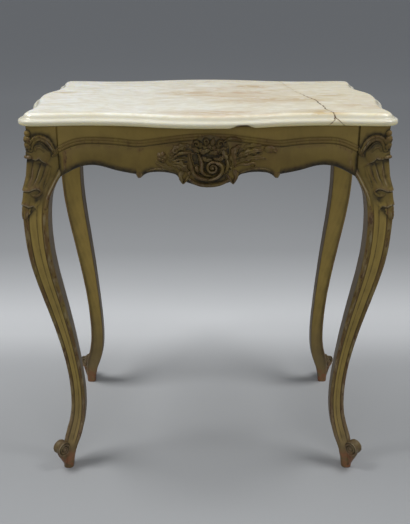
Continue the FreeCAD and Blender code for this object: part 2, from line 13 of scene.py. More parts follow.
import bpy
import numpy as np
from bpy.types import ID, Material, Mesh, Node, NodeSocket, NodeTree, Object
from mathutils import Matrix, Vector

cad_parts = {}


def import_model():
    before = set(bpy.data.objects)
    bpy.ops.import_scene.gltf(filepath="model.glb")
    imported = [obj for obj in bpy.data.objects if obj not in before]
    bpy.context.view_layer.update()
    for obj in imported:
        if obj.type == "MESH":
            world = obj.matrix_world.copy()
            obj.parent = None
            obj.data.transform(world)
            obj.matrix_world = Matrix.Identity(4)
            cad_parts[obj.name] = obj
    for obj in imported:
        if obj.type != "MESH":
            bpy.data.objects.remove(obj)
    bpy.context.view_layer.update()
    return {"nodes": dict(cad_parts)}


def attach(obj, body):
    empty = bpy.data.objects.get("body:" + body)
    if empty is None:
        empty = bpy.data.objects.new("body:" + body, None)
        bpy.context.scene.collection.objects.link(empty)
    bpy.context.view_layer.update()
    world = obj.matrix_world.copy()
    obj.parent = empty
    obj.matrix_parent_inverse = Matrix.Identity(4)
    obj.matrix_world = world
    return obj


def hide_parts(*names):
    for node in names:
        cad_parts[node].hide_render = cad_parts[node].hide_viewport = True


log = logging.getLogger("pier_table")

MM = 0.001
Array = np.ndarray
Point = tuple[float, float]
Place = tuple[float, float, float]
Colour = tuple[int, int, int]
FRAME_TOP = 720.0
KNEE: Point = (330.0, 215.0)
# Each leg's place, the signs that mirror it there, and how far its seams have opened
CORNERS: tuple[tuple[str, Point, float], ...] = (
    ("front_left", (1, 1), 0.2), ("front_right", (-1, 1), 1.0),
    ("back_left", (1, -1), 0.5), ("back_right", (-1, -1), 0.5))


class Side(Enum):
    """Which way a rail faces, as a turn about the table's upright axis."""

    FRONT = 0.0
    RIGHT = 90.0
    BACK = 180.0
    LEFT = 270.0


LONG_SIDES = (Side.FRONT, Side.BACK)


class Slot(Enum):
    """Names of the material slots."""

    ONYX = "onyx"
    GILT = "gilt_wood"
    BARE = "bare_wood"
    STEEL = "steel"


def unit(value: Array | float) -> Array:
    """The value kept from 0 to 1."""
    return np.clip(value, 0.0, 1.0)


def ease(low: Any, high: Any, value: Any) -> Array:
    """Smooth step.

    Args:
        low: where the step starts.
        high: where it ends, below low for a falling step.
        value: where it is read.

    Returns:
        0 before low, 1 after high.
    """
    share = unit((np.asarray(value, float) - low) / (high - low))
    return share * share * (3.0 - 2.0 * share)


def bell(offset: Array, reach: float) -> Array:
    """A bell curve: 1 at no offset and nearly 0 at twice the reach."""
    return np.exp(-((offset / reach) ** 2))


def half_round(share: Array) -> Array:
    """A half-round section: 1 in the middle and 0 from a share of 1 on."""
    return np.sqrt(unit(1.0 - share**2))


def sag(radius: float, half: Array | float) -> Array:
    """How deep an arc of a radius is at half its chord."""
    return radius - np.sqrt(radius**2 - half**2)


def rotated(across: Array, up: Array, turn: float) -> tuple[Array, Array]:
    """Places turned anticlockwise about the origin, by an angle in degrees."""
    cos, sin = math.cos(math.radians(turn)), math.sin(math.radians(turn))
    return across * cos - up * sin, across * sin + up * cos


def tapered(ends: Point, along: Array, run: float) -> Array:
    """Shares along a strand: from those of its ends to 1 after a run at each end."""
    return np.interp(along, [0.0, run, 1.0 - run, 1.0], [ends[0], 1.0, 1.0, ends[1]])


def lengths(path: Array) -> Array:
    """Length of a path up to each of its places."""
    return np.concatenate([[0.0], np.cumsum(np.hypot(*np.diff(path, axis=0).T))])


def graded(table: Sequence[Point], at: Array) -> Array:
    """Reads a table of places and values along straight lines."""
    return np.interp(at, *zip(*table))


def spline(knots: Sequence[float], values: Sequence[float], at: Array) -> Array:
    """Natural cubic spline.

    Args:
        knots: rising places.
        values: the values there.
        at: where the curve is read.

    Returns:
        The curve's values.
    """
    x, y = np.asarray(knots, float), np.asarray(values, float)
    step, rise = np.diff(x), np.diff(y)
    system = np.eye(len(x))
    right = np.zeros(len(x))
    for row in range(1, len(x) - 1):
        system[row, row - 1: row + 2] = step[row - 1], 2 * (step[row - 1] + step[row]), step[row]
        right[row] = 3 * (rise[row] / step[row] - rise[row - 1] / step[row - 1])
    bend = np.linalg.solve(system, right)
    part = np.clip(np.searchsorted(x, at) - 1, 0, len(x) - 2)
    run = at - x[part]
    slope = rise[part] / step[part] - step[part] * (2 * bend[part] + bend[part + 1]) / 3
    return y[part] + run * (slope + run * (bend[part] + run * (bend[part + 1] - bend[part]) / (3 * step[part])))


def through(points: Sequence[Point], count: int = 56) -> Array:
    """Smooth path.

    Args:
        points: places that the path runs through.
        count: how many places to return.

    Returns:
        The path, one place in each row.
    """
    path = np.asarray(points, float)
    run = lengths(path)
    at = np.linspace(0.0, run[-1], count)
    return np.stack([spline(run, path[:, 0], at), spline(run, path[:, 1], at)], 1)


def nearest(path: Array, places: Array) -> tuple[Array, Array]:
    """Nearest places on a path.

    Args:
        path: the path, one place in each row.
        places: the places to measure from.

    Returns:
        How far each place is from the path, and how far along it, from 0 to 1.
    """
    start, step = path[:-1], np.diff(path, axis=0)
    length = np.hypot(*step.T)
    run = lengths(path)
    offset = places[:, None, :] - start[None]
    share = unit((offset * step).sum(-1) / np.maximum(length**2, 1e-9))
    gap = np.hypot(*np.moveaxis(offset - share[..., None] * step, -1, 0))
    best = gap.argmin(1)
    rows = np.arange(len(places))
    return gap[rows, best], (run[best] + share[rows, best] * length[best]) / run[-1]


def cyma(at: Array, run: float, rise: float) -> Array:
    """S curve of two equal arcs, level at both ends.

    Args:
        at: distance along the run.
        run: length of the curve.
        rise: its height at the far end.

    Returns:
        Height at each distance.
    """
    radius = (run * run + rise * rise) / (4 * rise)
    first = sag(radius, np.minimum(at, run / 2))
    last = rise - radius + np.sqrt(radius**2 - np.clip(run - at, 0, run / 2) ** 2)
    return np.where(at <= run / 2, first, last)


def blurred(height: Array, reach: tuple[int, int], wraps: bool) -> Array:
    """Box blur, twice over.

    Args:
        height: a grid of heights.
        reach: half size of the box in rows and columns.
        wraps: whether the columns run round.

    Returns:
        The blurred grid.
    """
    for _ in range(2):
        for axis, half in enumerate(reach):
            pad = [(0, 0), (0, 0)]
            pad[axis] = (half + 1, half)
            padded = np.pad(height, pad, mode="wrap" if wraps and axis == 1 else "edge")
            total = np.cumsum(padded, axis)
            ahead = np.take(total, range(2 * half + 1, total.shape[axis]), axis)
            behind = np.take(total, range(0, total.shape[axis] - 2 * half - 1), axis)
            height = (ahead - behind) / (2 * half + 1)
    return height


class HeightMap:
    """Carved heights over a flat map, in millimetres, with painted highlights laid over it."""

    margin = 4.0
    groove_width = 1.1

    def __init__(self, across: Array, up: Array, height: Array | float = 0.0) -> None:
        """Starts a map.

        Args:
            across: one coordinate of each place.
            up: the other.
            height: the ground that is carved.
        """
        self.shape = across.shape
        self.places = np.stack([across.ravel(), up.ravel()], 1)
        self.height = np.broadcast_to(height, across.shape).astype(float).ravel().copy()
        self.highlight_map = np.zeros(len(self.places))

    def near(self, path: Array, reach: float) -> Array:
        """Indices of the places in the box round a path.

        Args:
            path: the path, one place in each row.
            reach: how far from it to look.

        Returns:
            The indices.
        """
        room = reach + self.margin
        inside = (self.places > path.min(0) - room) & (self.places < path.max(0) + room)
        return np.flatnonzero(inside.all(1))

    def follow(self, points: Sequence[Point], reach: float) -> tuple[Array, ...]:
        """Finds the places along a path.

        Args:
            points: places that the path runs through.
            reach: how far from it to look.

        Returns:
            The path, indices of the places near it, how far each is from it and how far along it.
        """
        path = through(points)
        chosen = self.near(path, reach)
        return path, chosen, *nearest(path, self.places[chosen])

    def around(self, centre: Point, reach: float) -> tuple[Array, Array]:
        """Finds the places round a centre.

        Args:
            centre: where to look.
            reach: how far from it.

        Returns:
            Indices of the places and their offsets from the centre.
        """
        middle = np.asarray([centre])
        chosen = self.near(middle, reach)
        return chosen, self.places[chosen] - middle

    def lay(self, chosen: Array, surface: Array, outside: Array, groove: float) -> None:
        """Lays a form over the map.

        Args:
            chosen: indices of the places that it may touch.
            surface: its height there.
            outside: how far each place lies outside its border.
            groove: depth of the cut round it.
        """
        old = self.height[chosen]
        cut = old - groove * bell(np.maximum(outside, 0.0), self.groove_width)
        self.height[chosen] = np.where(outside <= 0.0, np.maximum(old, surface), cut)

    def grid(self) -> Array:
        """The heights in the shape of the map."""
        return self.height.reshape(self.shape)

    def highlight_grid(self) -> Array:
        """Painted highlight of each place, in the shape of the map."""
        return self.highlight_map.reshape(self.shape)


class Form:
    """A carved form of an ornament."""

    def carve(self, ground: HeightMap) -> None:
        """Lays the form on a map."""
        raise NotImplementedError


@dataclass(frozen=True)
class Roll(Form):
    """A half-round strand that follows a path, such as a scroll, a stem or a ribbon lip."""

    path: tuple[Point, ...]
    width: float
    rise: float
    base: float | None = 0.0
    ends: Point = (0.45, 0.45)
    flute: float = 0.0
    groove: float = 0.9

    def carve(self, ground: HeightMap) -> None:
        """Lays the strand on the map, at its own base or, without one, on the ground.

        Args:
            ground: the map.
        """
        _, chosen, gap, along = ground.follow(self.path, self.width)
        taper = tapered(self.ends, along, 0.35)
        half = self.width * taper
        share = unit(gap / half)
        foot = ground.height[chosen] if self.base is None else self.base
        surface = foot + self.rise * taper * half_round(share) - self.flute * bell(share, 0.4)
        ground.lay(chosen, surface, gap - half, self.groove)


@dataclass(frozen=True)
class Leaf(Form):
    """A lobed leaf along its midrib."""

    path: tuple[Point, ...]
    width: float
    rise: float
    base: float = 0.0
    lobes: int = 4
    groove: float = 1.0

    def carve(self, ground: HeightMap) -> None:
        """Lays the leaf on the map.

        Args:
            ground: the map.
        """
        _, chosen, gap, along = ground.follow(self.path, self.width)
        wave = np.abs(np.cos(math.pi * self.lobes * along))
        half = self.width * np.sin(math.pi * np.clip(along, 0.03, 0.97) ** 0.7) ** 0.8 * (1.0 - 0.34 * wave**3)
        half = np.maximum(half, 0.25)
        share = unit(gap / half)
        crown = 0.5 + 0.5 * np.sin(math.pi * along)
        ribs = np.cos(2 * math.pi * self.lobes * (along - 0.1 * share))
        surface = self.base + self.rise * crown * (0.3 + 0.7 * half_round(share))
        surface += 0.12 * self.rise * ribs * share - 0.22 * self.rise * bell(gap, 0.9)
        ground.lay(chosen, surface, gap - half, self.groove)


@dataclass(frozen=True)
class Fold(Form):
    """The turned edge of a leaf: it slopes away on the left of its path and drops sharply on the right."""

    path: tuple[Point, ...]
    reach: float
    rise: float
    ends: Point = (0.6, 0.4)
    undercut: float = 0.8
    highlight_strength: float = 0.9

    def carve(self, ground: HeightMap) -> None:
        """Raises the edge on the map, cuts in under it and paints a highlight along it.

        Args:
            ground: the map.
        """
        path, chosen, gap, along = ground.follow(self.path, self.reach)
        at = np.round(along * (len(path) - 1)).astype(int)
        step, offset = np.gradient(path, axis=0)[at], ground.places[chosen] - path[at]
        left = step[:, 0] * offset[:, 1] > step[:, 1] * offset[:, 0]
        taper = tapered(self.ends, along, 0.3)
        slope = self.rise * np.exp(-((gap / self.reach) ** 1.5))
        drop = self.rise * bell(gap, 0.8) - self.undercut * bell(gap - 1.8, 1.2)
        ground.height[chosen] += taper * np.where(left, slope, drop)
        # Painted highlight along the edge
        ground.highlight_map[chosen] = np.maximum(ground.highlight_map[chosen], self.highlight_strength * taper * bell(gap, 1.2))


@dataclass(frozen=True)
class Dome(Form):
    """A cabochon or bud: an oval dome."""

    centre: Point
    radii: Point
    rise: float
    turn: float = 0.0
    base: float = 0.0
    groove: float = 1.0

    def carve(self, ground: HeightMap) -> None:
        """Lays the dome on the map.

        Args:
            ground: the map.
        """
        chosen, offset = ground.around(self.centre, max(self.radii))
        reach = np.hypot(*(np.stack(rotated(*offset.T, -self.turn), 1) / self.radii).T)
        surface = self.base + self.rise * half_round(reach)
        ground.lay(chosen, surface, (reach - 1.0) * min(self.radii), self.groove)


@dataclass(frozen=True)
class Flower(Form):
    """A small open flower with round petals and a sunk eye."""

    centre: Point
    radius: float
    rise: float
    petals: int = 5
    base: float = 0.0

    def carve(self, ground: HeightMap) -> None:
        """Lays the flower on the map.

        Args:
            ground: the map.
        """
        chosen, offset = ground.around(self.centre, self.radius)
        reach = np.hypot(*offset.T)
        wave = np.abs(np.cos(0.5 * self.petals * np.arctan2(offset[:, 1], offset[:, 0])))
        half = self.radius * (0.72 + 0.28 * np.sqrt(wave))
        cup = np.sin(math.pi * unit(reach / half) ** 0.8) * (0.5 + 0.5 * np.sqrt(wave))
        eye = 0.75 * half_round(reach / (0.24 * self.radius))
        surface = self.base + self.rise * (0.25 + 0.75 * np.maximum(cup, eye))
        ground.lay(chosen, surface, reach - half, 1.2)


def spiral(centre: Point, radius: float, turns: float, start: float, hand: float) -> tuple[Point, ...]:
    """Points of a spiral from its outer end to its eye.

    Args:
        centre: the eye.
        radius: the outer radius.
        turns: how many times it goes round.
        start: direction of the outer end, in degrees.
        hand: 1 to wind anticlockwise, -1 to wind clockwise.

    Returns:
        Places along the spiral.
    """
    share = np.linspace(0.0, 1.0, int(16 * turns))
    angle = math.radians(start) + hand * 2 * math.pi * turns * share
    reach = radius * (1.0 - 0.84 * share)
    return tuple((centre[0] + r * math.cos(a), centre[1] + r * math.sin(a)) for r, a in zip(reach, angle))


def placed(name: str, data: ID) -> Object:
    """A new object of the data, linked to the scene.

    Args:
        name: its name.
        data: its mesh, lamp or camera.

    Returns:
        The object.
    """
    made = bpy.data.objects.new(name, data)
    bpy.context.scene.collection.objects.link(made)
    return made


class Sheet:
    """Collects vertices, faces and vertex values of one closed piece."""

    def __init__(self) -> None:
        """Starts an empty piece."""
        self.points: list[Array] = []
        self.faces: list[tuple[int, ...]] = []
        self.values: dict[str, list[Array]] = {}
        self.count = 0

    def add_tube(self, points: Array, **values: Array | float) -> None:
        """Adds a tube of quads that is closed at both ends.

        Args:
            points: places in millimetres, by ring and place round it.
            **values: the vertex attributes, as one value or as a grid.
        """
        shape = points.shape[:2]
        numbers = np.arange(shape[0] * shape[1]).reshape(shape) + self.count
        wide = np.concatenate([numbers, numbers[:, :1]], 1)
        quads = np.stack([wide[:-1, :-1], wide[:-1, 1:], wide[1:, 1:], wide[1:, :-1]], -1).reshape(-1, 4)
        for faces in (quads, numbers[:1, ::-1], numbers[-1:]):
            self.faces.extend(map(tuple, faces.tolist()))
        self.points.append(points.reshape(-1, 3) * MM)
        for name, grid in values.items():
            self.values.setdefault(name, []).append(np.broadcast_to(grid, shape).ravel())
        self.count += numbers.size

    def add_board(self, along: Array, out: Array, up: Array, back: Any, ends: tuple[Any, Any],
                  inside: float, **values: Array) -> None:
        """Adds a board that faces the front: a carved face and a plain back.

        Args:
            along: place of each column.
            out: how far the face lies from the middle of the table, by column and row.
            up: height of each place of the face.
            back: how far the back lies from the middle.
            ends: heights of the back's upper and lower edge.
            inside: how far the back shows the inner finish.
            **values: other vertex attributes of the face, by column and row.
        """
        behind = [np.broadcast_to(back, (len(along), 1))] * 2
        edges = [np.broadcast_to(end, (len(along), 1)) for end in ends]
        loop_out, loop_up = np.concatenate([out, *behind], 1), np.concatenate([up, *edges], 1)
        loop_along = np.broadcast_to(along[:, None], loop_out.shape)
        plain = np.zeros((len(along), 2))
        grids = {name: np.concatenate([grid, plain], 1) for name, grid in values.items()}
        self.add_tube(np.stack([loop_along, -loop_out, loop_up], -1), **grids,
                      inside=np.concatenate([np.zeros(up.shape), plain + inside], 1))

    def make(self, name: str, turn: float = 0.0, mirror: Point = (1.0, 1.0)) -> Object:
        """Makes the object.

        Args:
            name: its name.
            turn: turn about the upright axis, in degrees.
            mirror: signs of X and Y.

        Returns:
            The linked object.
        """
        across, deep, up = (np.concatenate(self.points) * (*mirror, 1.0)).T
        points = np.stack([*rotated(across, deep, turn), up], 1)
        flipped = mirror[0] * mirror[1] < 0
        mesh = bpy.data.meshes.new(name)
        mesh.from_pydata(points.tolist(), [], [face[::-1] for face in self.faces] if flipped else self.faces)
        for label, grids in self.values.items():
            mesh.attributes.new(label, "FLOAT", "POINT").data.foreach_set(
                "value", np.concatenate(grids).astype(np.float32))
        mesh.polygons.foreach_set("use_smooth", np.ones(len(mesh.polygons), bool))
        mesh.validate()
        return placed(name, mesh)


def linear(colour: Colour) -> tuple[float, float, float, float]:
    """A screen colour of 0 to 255 as the shader's linear colour.

    Args:
        colour: red, green and blue on the screen.

    Returns:
        Linear red, green and blue, and full cover.
    """
    share = np.asarray(colour, float) / 255.0
    rgb = np.where(share <= 0.04045, share / 12.92, ((share + 0.055) / 1.055) ** 2.4)
    return (float(rgb[0]), float(rgb[1]), float(rgb[2]), 1.0)


class NodeDesk:
    """Adds and links the nodes of one tree."""

    tree: NodeTree

    def plug(self, socket: NodeSocket, value: Any) -> None:
        """Links a socket to another one, or sets its value.

        Args:
            socket: the input.
            value: an output or a constant.
        """
        if isinstance(value, NodeSocket):
            self.tree.links.new(value, socket)
        else:
            socket.default_value = value

    def node(self, kind: str, inputs: dict[str | int, Any], **settings: Any) -> Node:
        """Adds a node.

        Args:
            kind: the node's type.
            inputs: values, sockets or lists of sockets, by input.
            **settings: the node's own properties.

        Returns:
            The node.
        """
        made = self.tree.nodes.new(kind)
        for name, value in settings.items():
            setattr(made, name, value)
        for name, value in inputs.items():
            for one in value if isinstance(value, list) else [value]:
                self.plug(made.inputs[name], one)
        return made

    def out(self, kind: str, inputs: dict[str | int, Any], output: str | int = 0, **settings: Any) -> NodeSocket:
        """One output of a new node, its first where none is named."""
        return self.node(kind, inputs, **settings).outputs[output]


class Desk(NodeDesk):
    """Mixes the paint of one material."""

    noise_roughness = 0.55

    def __init__(self, name: str, ground: Colour) -> None:
        """Starts a material with one principled shader and its first coat.

        Args:
            name: its name.
            ground: colour of the first coat.
        """
        self.material = bpy.data.materials.new(name)
        self.material.use_nodes = True
        self.tree = self.material.node_tree
        self.tree.nodes.clear()
        self.shader = self.node("ShaderNodeBsdfPrincipled", {})
        self.node("ShaderNodeOutputMaterial", {"Surface": self.shader.outputs["BSDF"]})
        self.place = self.out("ShaderNodeTexCoord", {}, "Object")
        self.paint: Any = linear(ground)

    @cached_property
    def axes(self) -> bpy.types.bpy_prop_collection:
        """The piece's own coordinates, each by itself."""
        return self.node("ShaderNodeSeparateXYZ", {"Vector": self.place}).outputs

    def noise(self, scale: float, detail: float = 4.0, stretch: Place = (1.0, 1.0, 1.0), warp: float = 0.0
              ) -> NodeSocket:
        """Noise over the piece's own coordinates.

        Args:
            scale: how fine it is.
            detail: how many octaves it has.
            stretch: how much finer it is along each axis.
            warp: how far it is distorted.

        Returns:
            The noise, about 0.5 on average.
        """
        place = self.out("ShaderNodeMapping", {"Vector": self.place, "Scale": stretch})
        return self.out("ShaderNodeTexNoise", {"Vector": place, "Scale": scale, "Detail": detail,
                                               "Roughness": self.noise_roughness, "Distortion": warp})

    def math(self, operation: str, first: Any, second: Any = 0.0) -> NodeSocket:
        """One step of arithmetic, kept from 0 to 1."""
        return self.out("ShaderNodeMath", {0: first, 1: second}, operation=operation, use_clamp=True)

    def product(self, first: Any, *others: Any) -> Any:
        """The product of some shares.

        Args:
            first: the first share.
            *others: what it is multiplied by.

        Returns:
            The product.
        """
        for other in others:
            first = self.math("MULTIPLY", first, other)
        return first

    def band(self, value: Any, low: float, high: float) -> NodeSocket:
        """Smooth step of a value, from 0 at low to 1 at high."""
        return self.out("ShaderNodeMapRange", {"Value": value, "From Min": low, "From Max": high},
                        interpolation_type="SMOOTHSTEP")

    def between(self, value: Any, low: float, high: float) -> NodeSocket:
        """A value of 0 to 1 spread from low to high."""
        return self.out("ShaderNodeMapRange", {"Value": value, "To Min": low, "To Max": high})

    def mix(self, share: Any, first: Any, second: Any) -> NodeSocket:
        """Mixes two colours or values."""
        return self.out("ShaderNodeMix", {0: share, 6: first, 7: second}, 2, data_type="RGBA")

    def wash(self, colour: Any, *shares: Any) -> None:
        """Lays a colour over the paint so far, by the product of the shares."""
        over = linear(colour) if isinstance(colour, tuple) else colour
        self.paint = self.mix(self.product(*shares), self.paint, over)

    def attribute(self, name: str) -> NodeSocket:
        """A vertex value of the piece."""
        return self.out("ShaderNodeAttribute", {}, "Fac", attribute_name=name)

    def bump(self, height: Any, strength: float, distance: float) -> None:
        """Fine surface unevenness."""
        self.plug(self.shader.inputs["Normal"], self.out("ShaderNodeBump", {
            "Height": height, "Strength": strength, "Distance": distance}))

    def finish(self, rough: Any, **constants: Any) -> Material:
        """Plugs in the paint and the roughness, and sets what is the same all over.

        Args:
            rough: the roughness.
            **constants: values of other sockets, by their names with low lines for spaces.

        Returns:
            The material.
        """
        self.plug(self.shader.inputs["Base Color"], self.paint)
        self.plug(self.shader.inputs["Roughness"], rough)
        for name, value in constants.items():
            self.shader.inputs[name.replace("_", " ")].default_value = value
        return self.material


@dataclass(frozen=True)
class OliveGilt:
    """Old gilding toned olive, golden in the legs' channels and worn to brown on edges and feet, with painted shade in
    its hollows, painted highlights on its crests and painted light on the rails' fascias.
    """

    light: Colour = (129, 110, 54)
    mid: Colour = (112, 94, 46)
    gold: Colour = (176, 151, 80)
    # Colour of the painted shade in hollows and recesses, and of the open seams
    hollow: Colour = (47, 41, 29)
    worn: Colour = (103, 76, 48)
    # Colour of the painted highlights
    crest: Colour = (152, 138, 103)
    inside: Colour = (116, 100, 83)
    foot: Colour = (146, 98, 68)
    bole: Colour = (72, 46, 30)
    pale_heights: Point = (0.24, 0.07)
    foot_heights: Point = (0.052, 0.022)

    def make(self) -> Material:
        """Builds the material.

        Returns:
            The material.
        """
        desk = Desk("olive_gilt", self.mid)
        cloud, fine = desk.noise(16.0, 5.0), desk.noise(190.0, 4.0)
        streak = desk.noise(30.0, 5.0, (1.0, 1.0, 0.16), warp=0.4)
        height, wear = desk.axes["Z"], desk.attribute("wear")
        desk.wash(self.light, desk.band(cloud, 0.32, 0.68))
        desk.wash(self.worn, desk.band(streak, 0.5, 0.75), 0.35)
        # Gilding of the legs' channels, and painted light on the rails' fascias
        desk.wash(self.gold, desk.attribute("gold"), desk.between(streak, 0.35, 1.25))
        desk.wash(self.inside, desk.attribute("inside"), desk.between(cloud, 0.55, 1.0))
        desk.wash(self.worn, wear, desk.band(desk.noise(70.0, 5.0, (1.0, 1.0, 0.3)), 0.36, 0.6))
        # Painted highlights: the crest colour on raised places, broken up by noise, and in full where the values go
        # above 1
        highlight_breakup = desk.band(desk.noise(150.0, 4.0, (1.0, 1.0, 0.25)), 0.46, 0.68)
        bright = desk.product(desk.band(wear, 0.45, 1.0), desk.product(highlight_breakup, 0.8))
        desk.wash(self.crest, desk.math("MAXIMUM", bright, desk.band(wear, 0.9, 1.9)))
        desk.wash(self.inside, desk.band(height, *self.pale_heights), desk.between(cloud, 0.2, 0.7))
        desk.wash(self.foot, desk.band(height, *self.foot_heights), desk.band(desk.noise(75.0, 4.0), 0.34, 0.6))
        # Painted shade: the shade colour where the shade values are high, which also darken the open seams
        desk.wash(self.hollow, desk.attribute("cavity"), desk.between(desk.noise(130.0, 3.0), 0.35, 1.4))
        desk.wash(self.bole, desk.band(desk.noise(240.0, 4.0, (1.0, 1.0, 0.3)), 0.56, 0.66),
                  desk.between(desk.band(wear, 0.1, 0.5), 0.06, 0.7))
        desk.bump(desk.mix(0.6, fine, streak), 0.25, 0.0006)
        return desk.finish(desk.between(desk.mix(0.5, cloud, fine), 0.38, 0.62), Specular_IOR_Level=0.25)


@dataclass(frozen=True)
class Veil:
    """A patch of colour in the stone: its middle and half sizes, in metres, and how rosy it is."""

    x: float
    y: float
    wide: float
    deep: float
    rose: float


@dataclass(frozen=True)
class PolishedOnyx:
    """Cream onyx, cooler at the left, with honey and rose veils and a repaired crack, painted shade on its moulded edge
    and a yellow lower edge brightened into a painted glow.
    """

    cool: Colour = (241, 241, 233)
    warm: Colour = (233, 225, 199)
    shade: Colour = (222, 213, 188)
    honey: Colour = (204, 182, 136)
    rose: Colour = (210, 184, 154)
    crack: Colour = (98, 78, 54)
    # Colour of the painted shade on the moulded edge
    rim: Colour = (209, 205, 186)
    # Yellow of the lower edge, brightened into a painted glow
    lower: Colour = (240, 226, 160)
    warm_reach: Point = (-0.3, 0.34)
    stained_reach: Point = (-0.16, 0.04)
    fresh_reach: Point = (0.05, -0.05)
    edge_shade_heights: Point = (0.7399, 0.7345)
    lower_glow_heights: Point = (0.7275, 0.7208)
    crack_widths: Point = (0.0017, 0.0003)
    halo_widths: Point = (0.012, 0.0)
    veils: tuple[Veil, ...] = (
        Veil(-0.035, 0.02, 0.08, 0.04, 0.3), Veil(0.05, 0.035, 0.17, 0.075, 0.8), Veil(0.092, 0.11, 0.07, 0.035, 0.6),
        Veil(0.10, -0.05, 0.14, 0.06, 0.5), Veil(0.205, -0.045, 0.08, 0.04, 0.1), Veil(0.20, -0.18, 0.06, 0.04, 0.1),
        Veil(0.27, -0.12, 0.07, 0.03, 0.7), Veil(0.03, -0.19, 0.14, 0.04, 0.8), Veil(-0.28, 0.035, 0.05, 0.018, 0.1),
        Veil(0.083, 0.115, 0.06, 0.024, 0.1), Veil(0.155, -0.036, 0.07, 0.03, 0.1),
        Veil(0.19, -0.187, 0.06, 0.035, 0.0), Veil(0.03, -0.008, 0.08, 0.025, 0.7),
        Veil(0.237, 0.003, 0.06, 0.03, 0.1))

    def make(self) -> Material:
        """Builds the material.

        Returns:
            The material.
        """
        desk = Desk("polished_onyx", self.cool)
        drift = desk.noise(4.0, 3.0, (0.6, 1.6, 1.0), warp=0.6)
        bands = desk.noise(11.0, 6.0, (0.7, 1.5, 1.0), warp=1.6)
        streaks = desk.noise(26.0, 6.0, (0.7, 1.3, 1.0), warp=1.6)
        blots = desk.noise(26.0, 5.0, (0.75, 1.4, 1.0), warp=1.2)
        layers = desk.noise(60.0, 4.0, (0.55, 1.4, 1.0), warp=0.9)
        grain, axes = desk.noise(60.0, 4.0), desk.axes
        desk.wash(self.warm, desk.math("ADD", desk.band(axes["X"], *self.warm_reach), desk.between(drift, -0.25, 0.25)))
        desk.wash(self.shade, desk.band(bands, 0.42, 0.7), 0.6)
        ragged = desk.between(desk.band(bands, 0.34, 0.62), 0.25, 1.15)
        for veil in self.veils:
            place = desk.out("ShaderNodeMapping", {
                "Vector": desk.place, "Location": (-veil.x / veil.wide, -veil.y / veil.deep, 0.0),
                "Scale": (1.0 / veil.wide, 1.0 / veil.deep, 0.001)})
            spot = desk.out("ShaderNodeTexGradient", {"Vector": place}, "Fac", gradient_type="SPHERICAL")
            desk.wash(desk.mix(veil.rose, linear(self.honey), linear(self.rose)), spot, ragged)
        desk.wash(self.shade, desk.band(streaks, 0.48, 0.7), 0.5)
        desk.wash(self.cool, desk.band(streaks, 0.46, 0.28), 0.4)
        desk.wash(self.shade, desk.band(layers, 0.45, 0.65), 0.5)
        desk.wash(self.cool, desk.band(layers, 0.48, 0.32), 0.5)
        desk.wash(self.rose, desk.band(blots, 0.54, 0.74),
                  desk.between(desk.band(axes["X"], *self.stained_reach), 0.12, 0.5))
        # Painted shade: the moulded edge is toned darker than the top, as though it caught less light
        desk.wash(self.rim, desk.band(axes["Z"], *self.edge_shade_heights), desk.between(bands, 0.6, 1.1))
        # The lower edge's yellow tint, brightened into a painted glow that stands in for light through the stone
        desk.wash(self.lower, desk.band(axes["Z"], *self.lower_glow_heights), desk.between(drift, 0.3, 1.0))
        offset = desk.math("MINIMUM", *(desk.math("ABSOLUTE", desk.attribute(name)) for name in ("crack", "fork")))
        broken = desk.between(desk.band(desk.noise(75.0, 3.0), 0.3, 0.62), 0.15, 1.1)
        fresh = desk.between(desk.band(axes["Y"], *self.fresh_reach), 0.22, 1.0)
        line, chip = desk.product(desk.band(offset, *self.crack_widths), broken, fresh), desk.attribute("chip")
        desk.wash(self.honey, desk.band(offset, *self.halo_widths), desk.band(grain, 0.4, 0.7), 0.4)
        desk.wash(self.crack, line)
        desk.wash(self.crack, chip, 0.9)
        desk.bump(desk.mix(0.5, grain, line), 0.06, 0.0008)
        rough = desk.math("ADD", desk.between(grain, 0.16, 0.28), desk.product(chip, 0.5))
        return desk.finish(rough, Subsurface_Weight=0.4, Subsurface_Scale=1.0,
                           Subsurface_Radius=(0.016, 0.014, 0.009), IOR=1.5)


@dataclass(frozen=True)
class BareWood:
    """Unpainted beech of the hidden pieces."""

    pale: Colour = (158, 124, 84)
    dark: Colour = (104, 76, 48)

    def make(self) -> Material:
        """Builds the material.

        Returns:
            The material.
        """
        desk = Desk("bare_wood", self.pale)
        grain = desk.noise(26.0, 6.0, (0.25, 1.0, 1.0), warp=0.6)
        pores = desk.noise(240.0, 2.0, (0.1, 1.0, 1.0))
        desk.wash(self.dark, desk.band(grain, 0.35, 0.7))
        desk.wash(self.dark, desk.band(pores, 0.55, 0.7), 0.5)
        desk.bump(desk.mix(0.5, grain, pores), 0.3, 0.0005)
        return desk.finish(desk.between(grain, 0.6, 0.8))


@dataclass(frozen=True)
class DullSteel:
    """Old steel of the wood screws."""

    bright: Colour = (150, 146, 138)
    rusty: Colour = (104, 82, 62)

    def make(self) -> Material:
        """Builds the material.

        Returns:
            The material.
        """
        desk = Desk("dull_steel", self.bright)
        cloud = desk.noise(400.0, 4.0)
        desk.wash(self.rusty, desk.band(cloud, 0.4, 0.65))
        desk.bump(cloud, 0.2, 0.0002)
        return desk.finish(desk.between(cloud, 0.3, 0.6), Metallic=0.9)


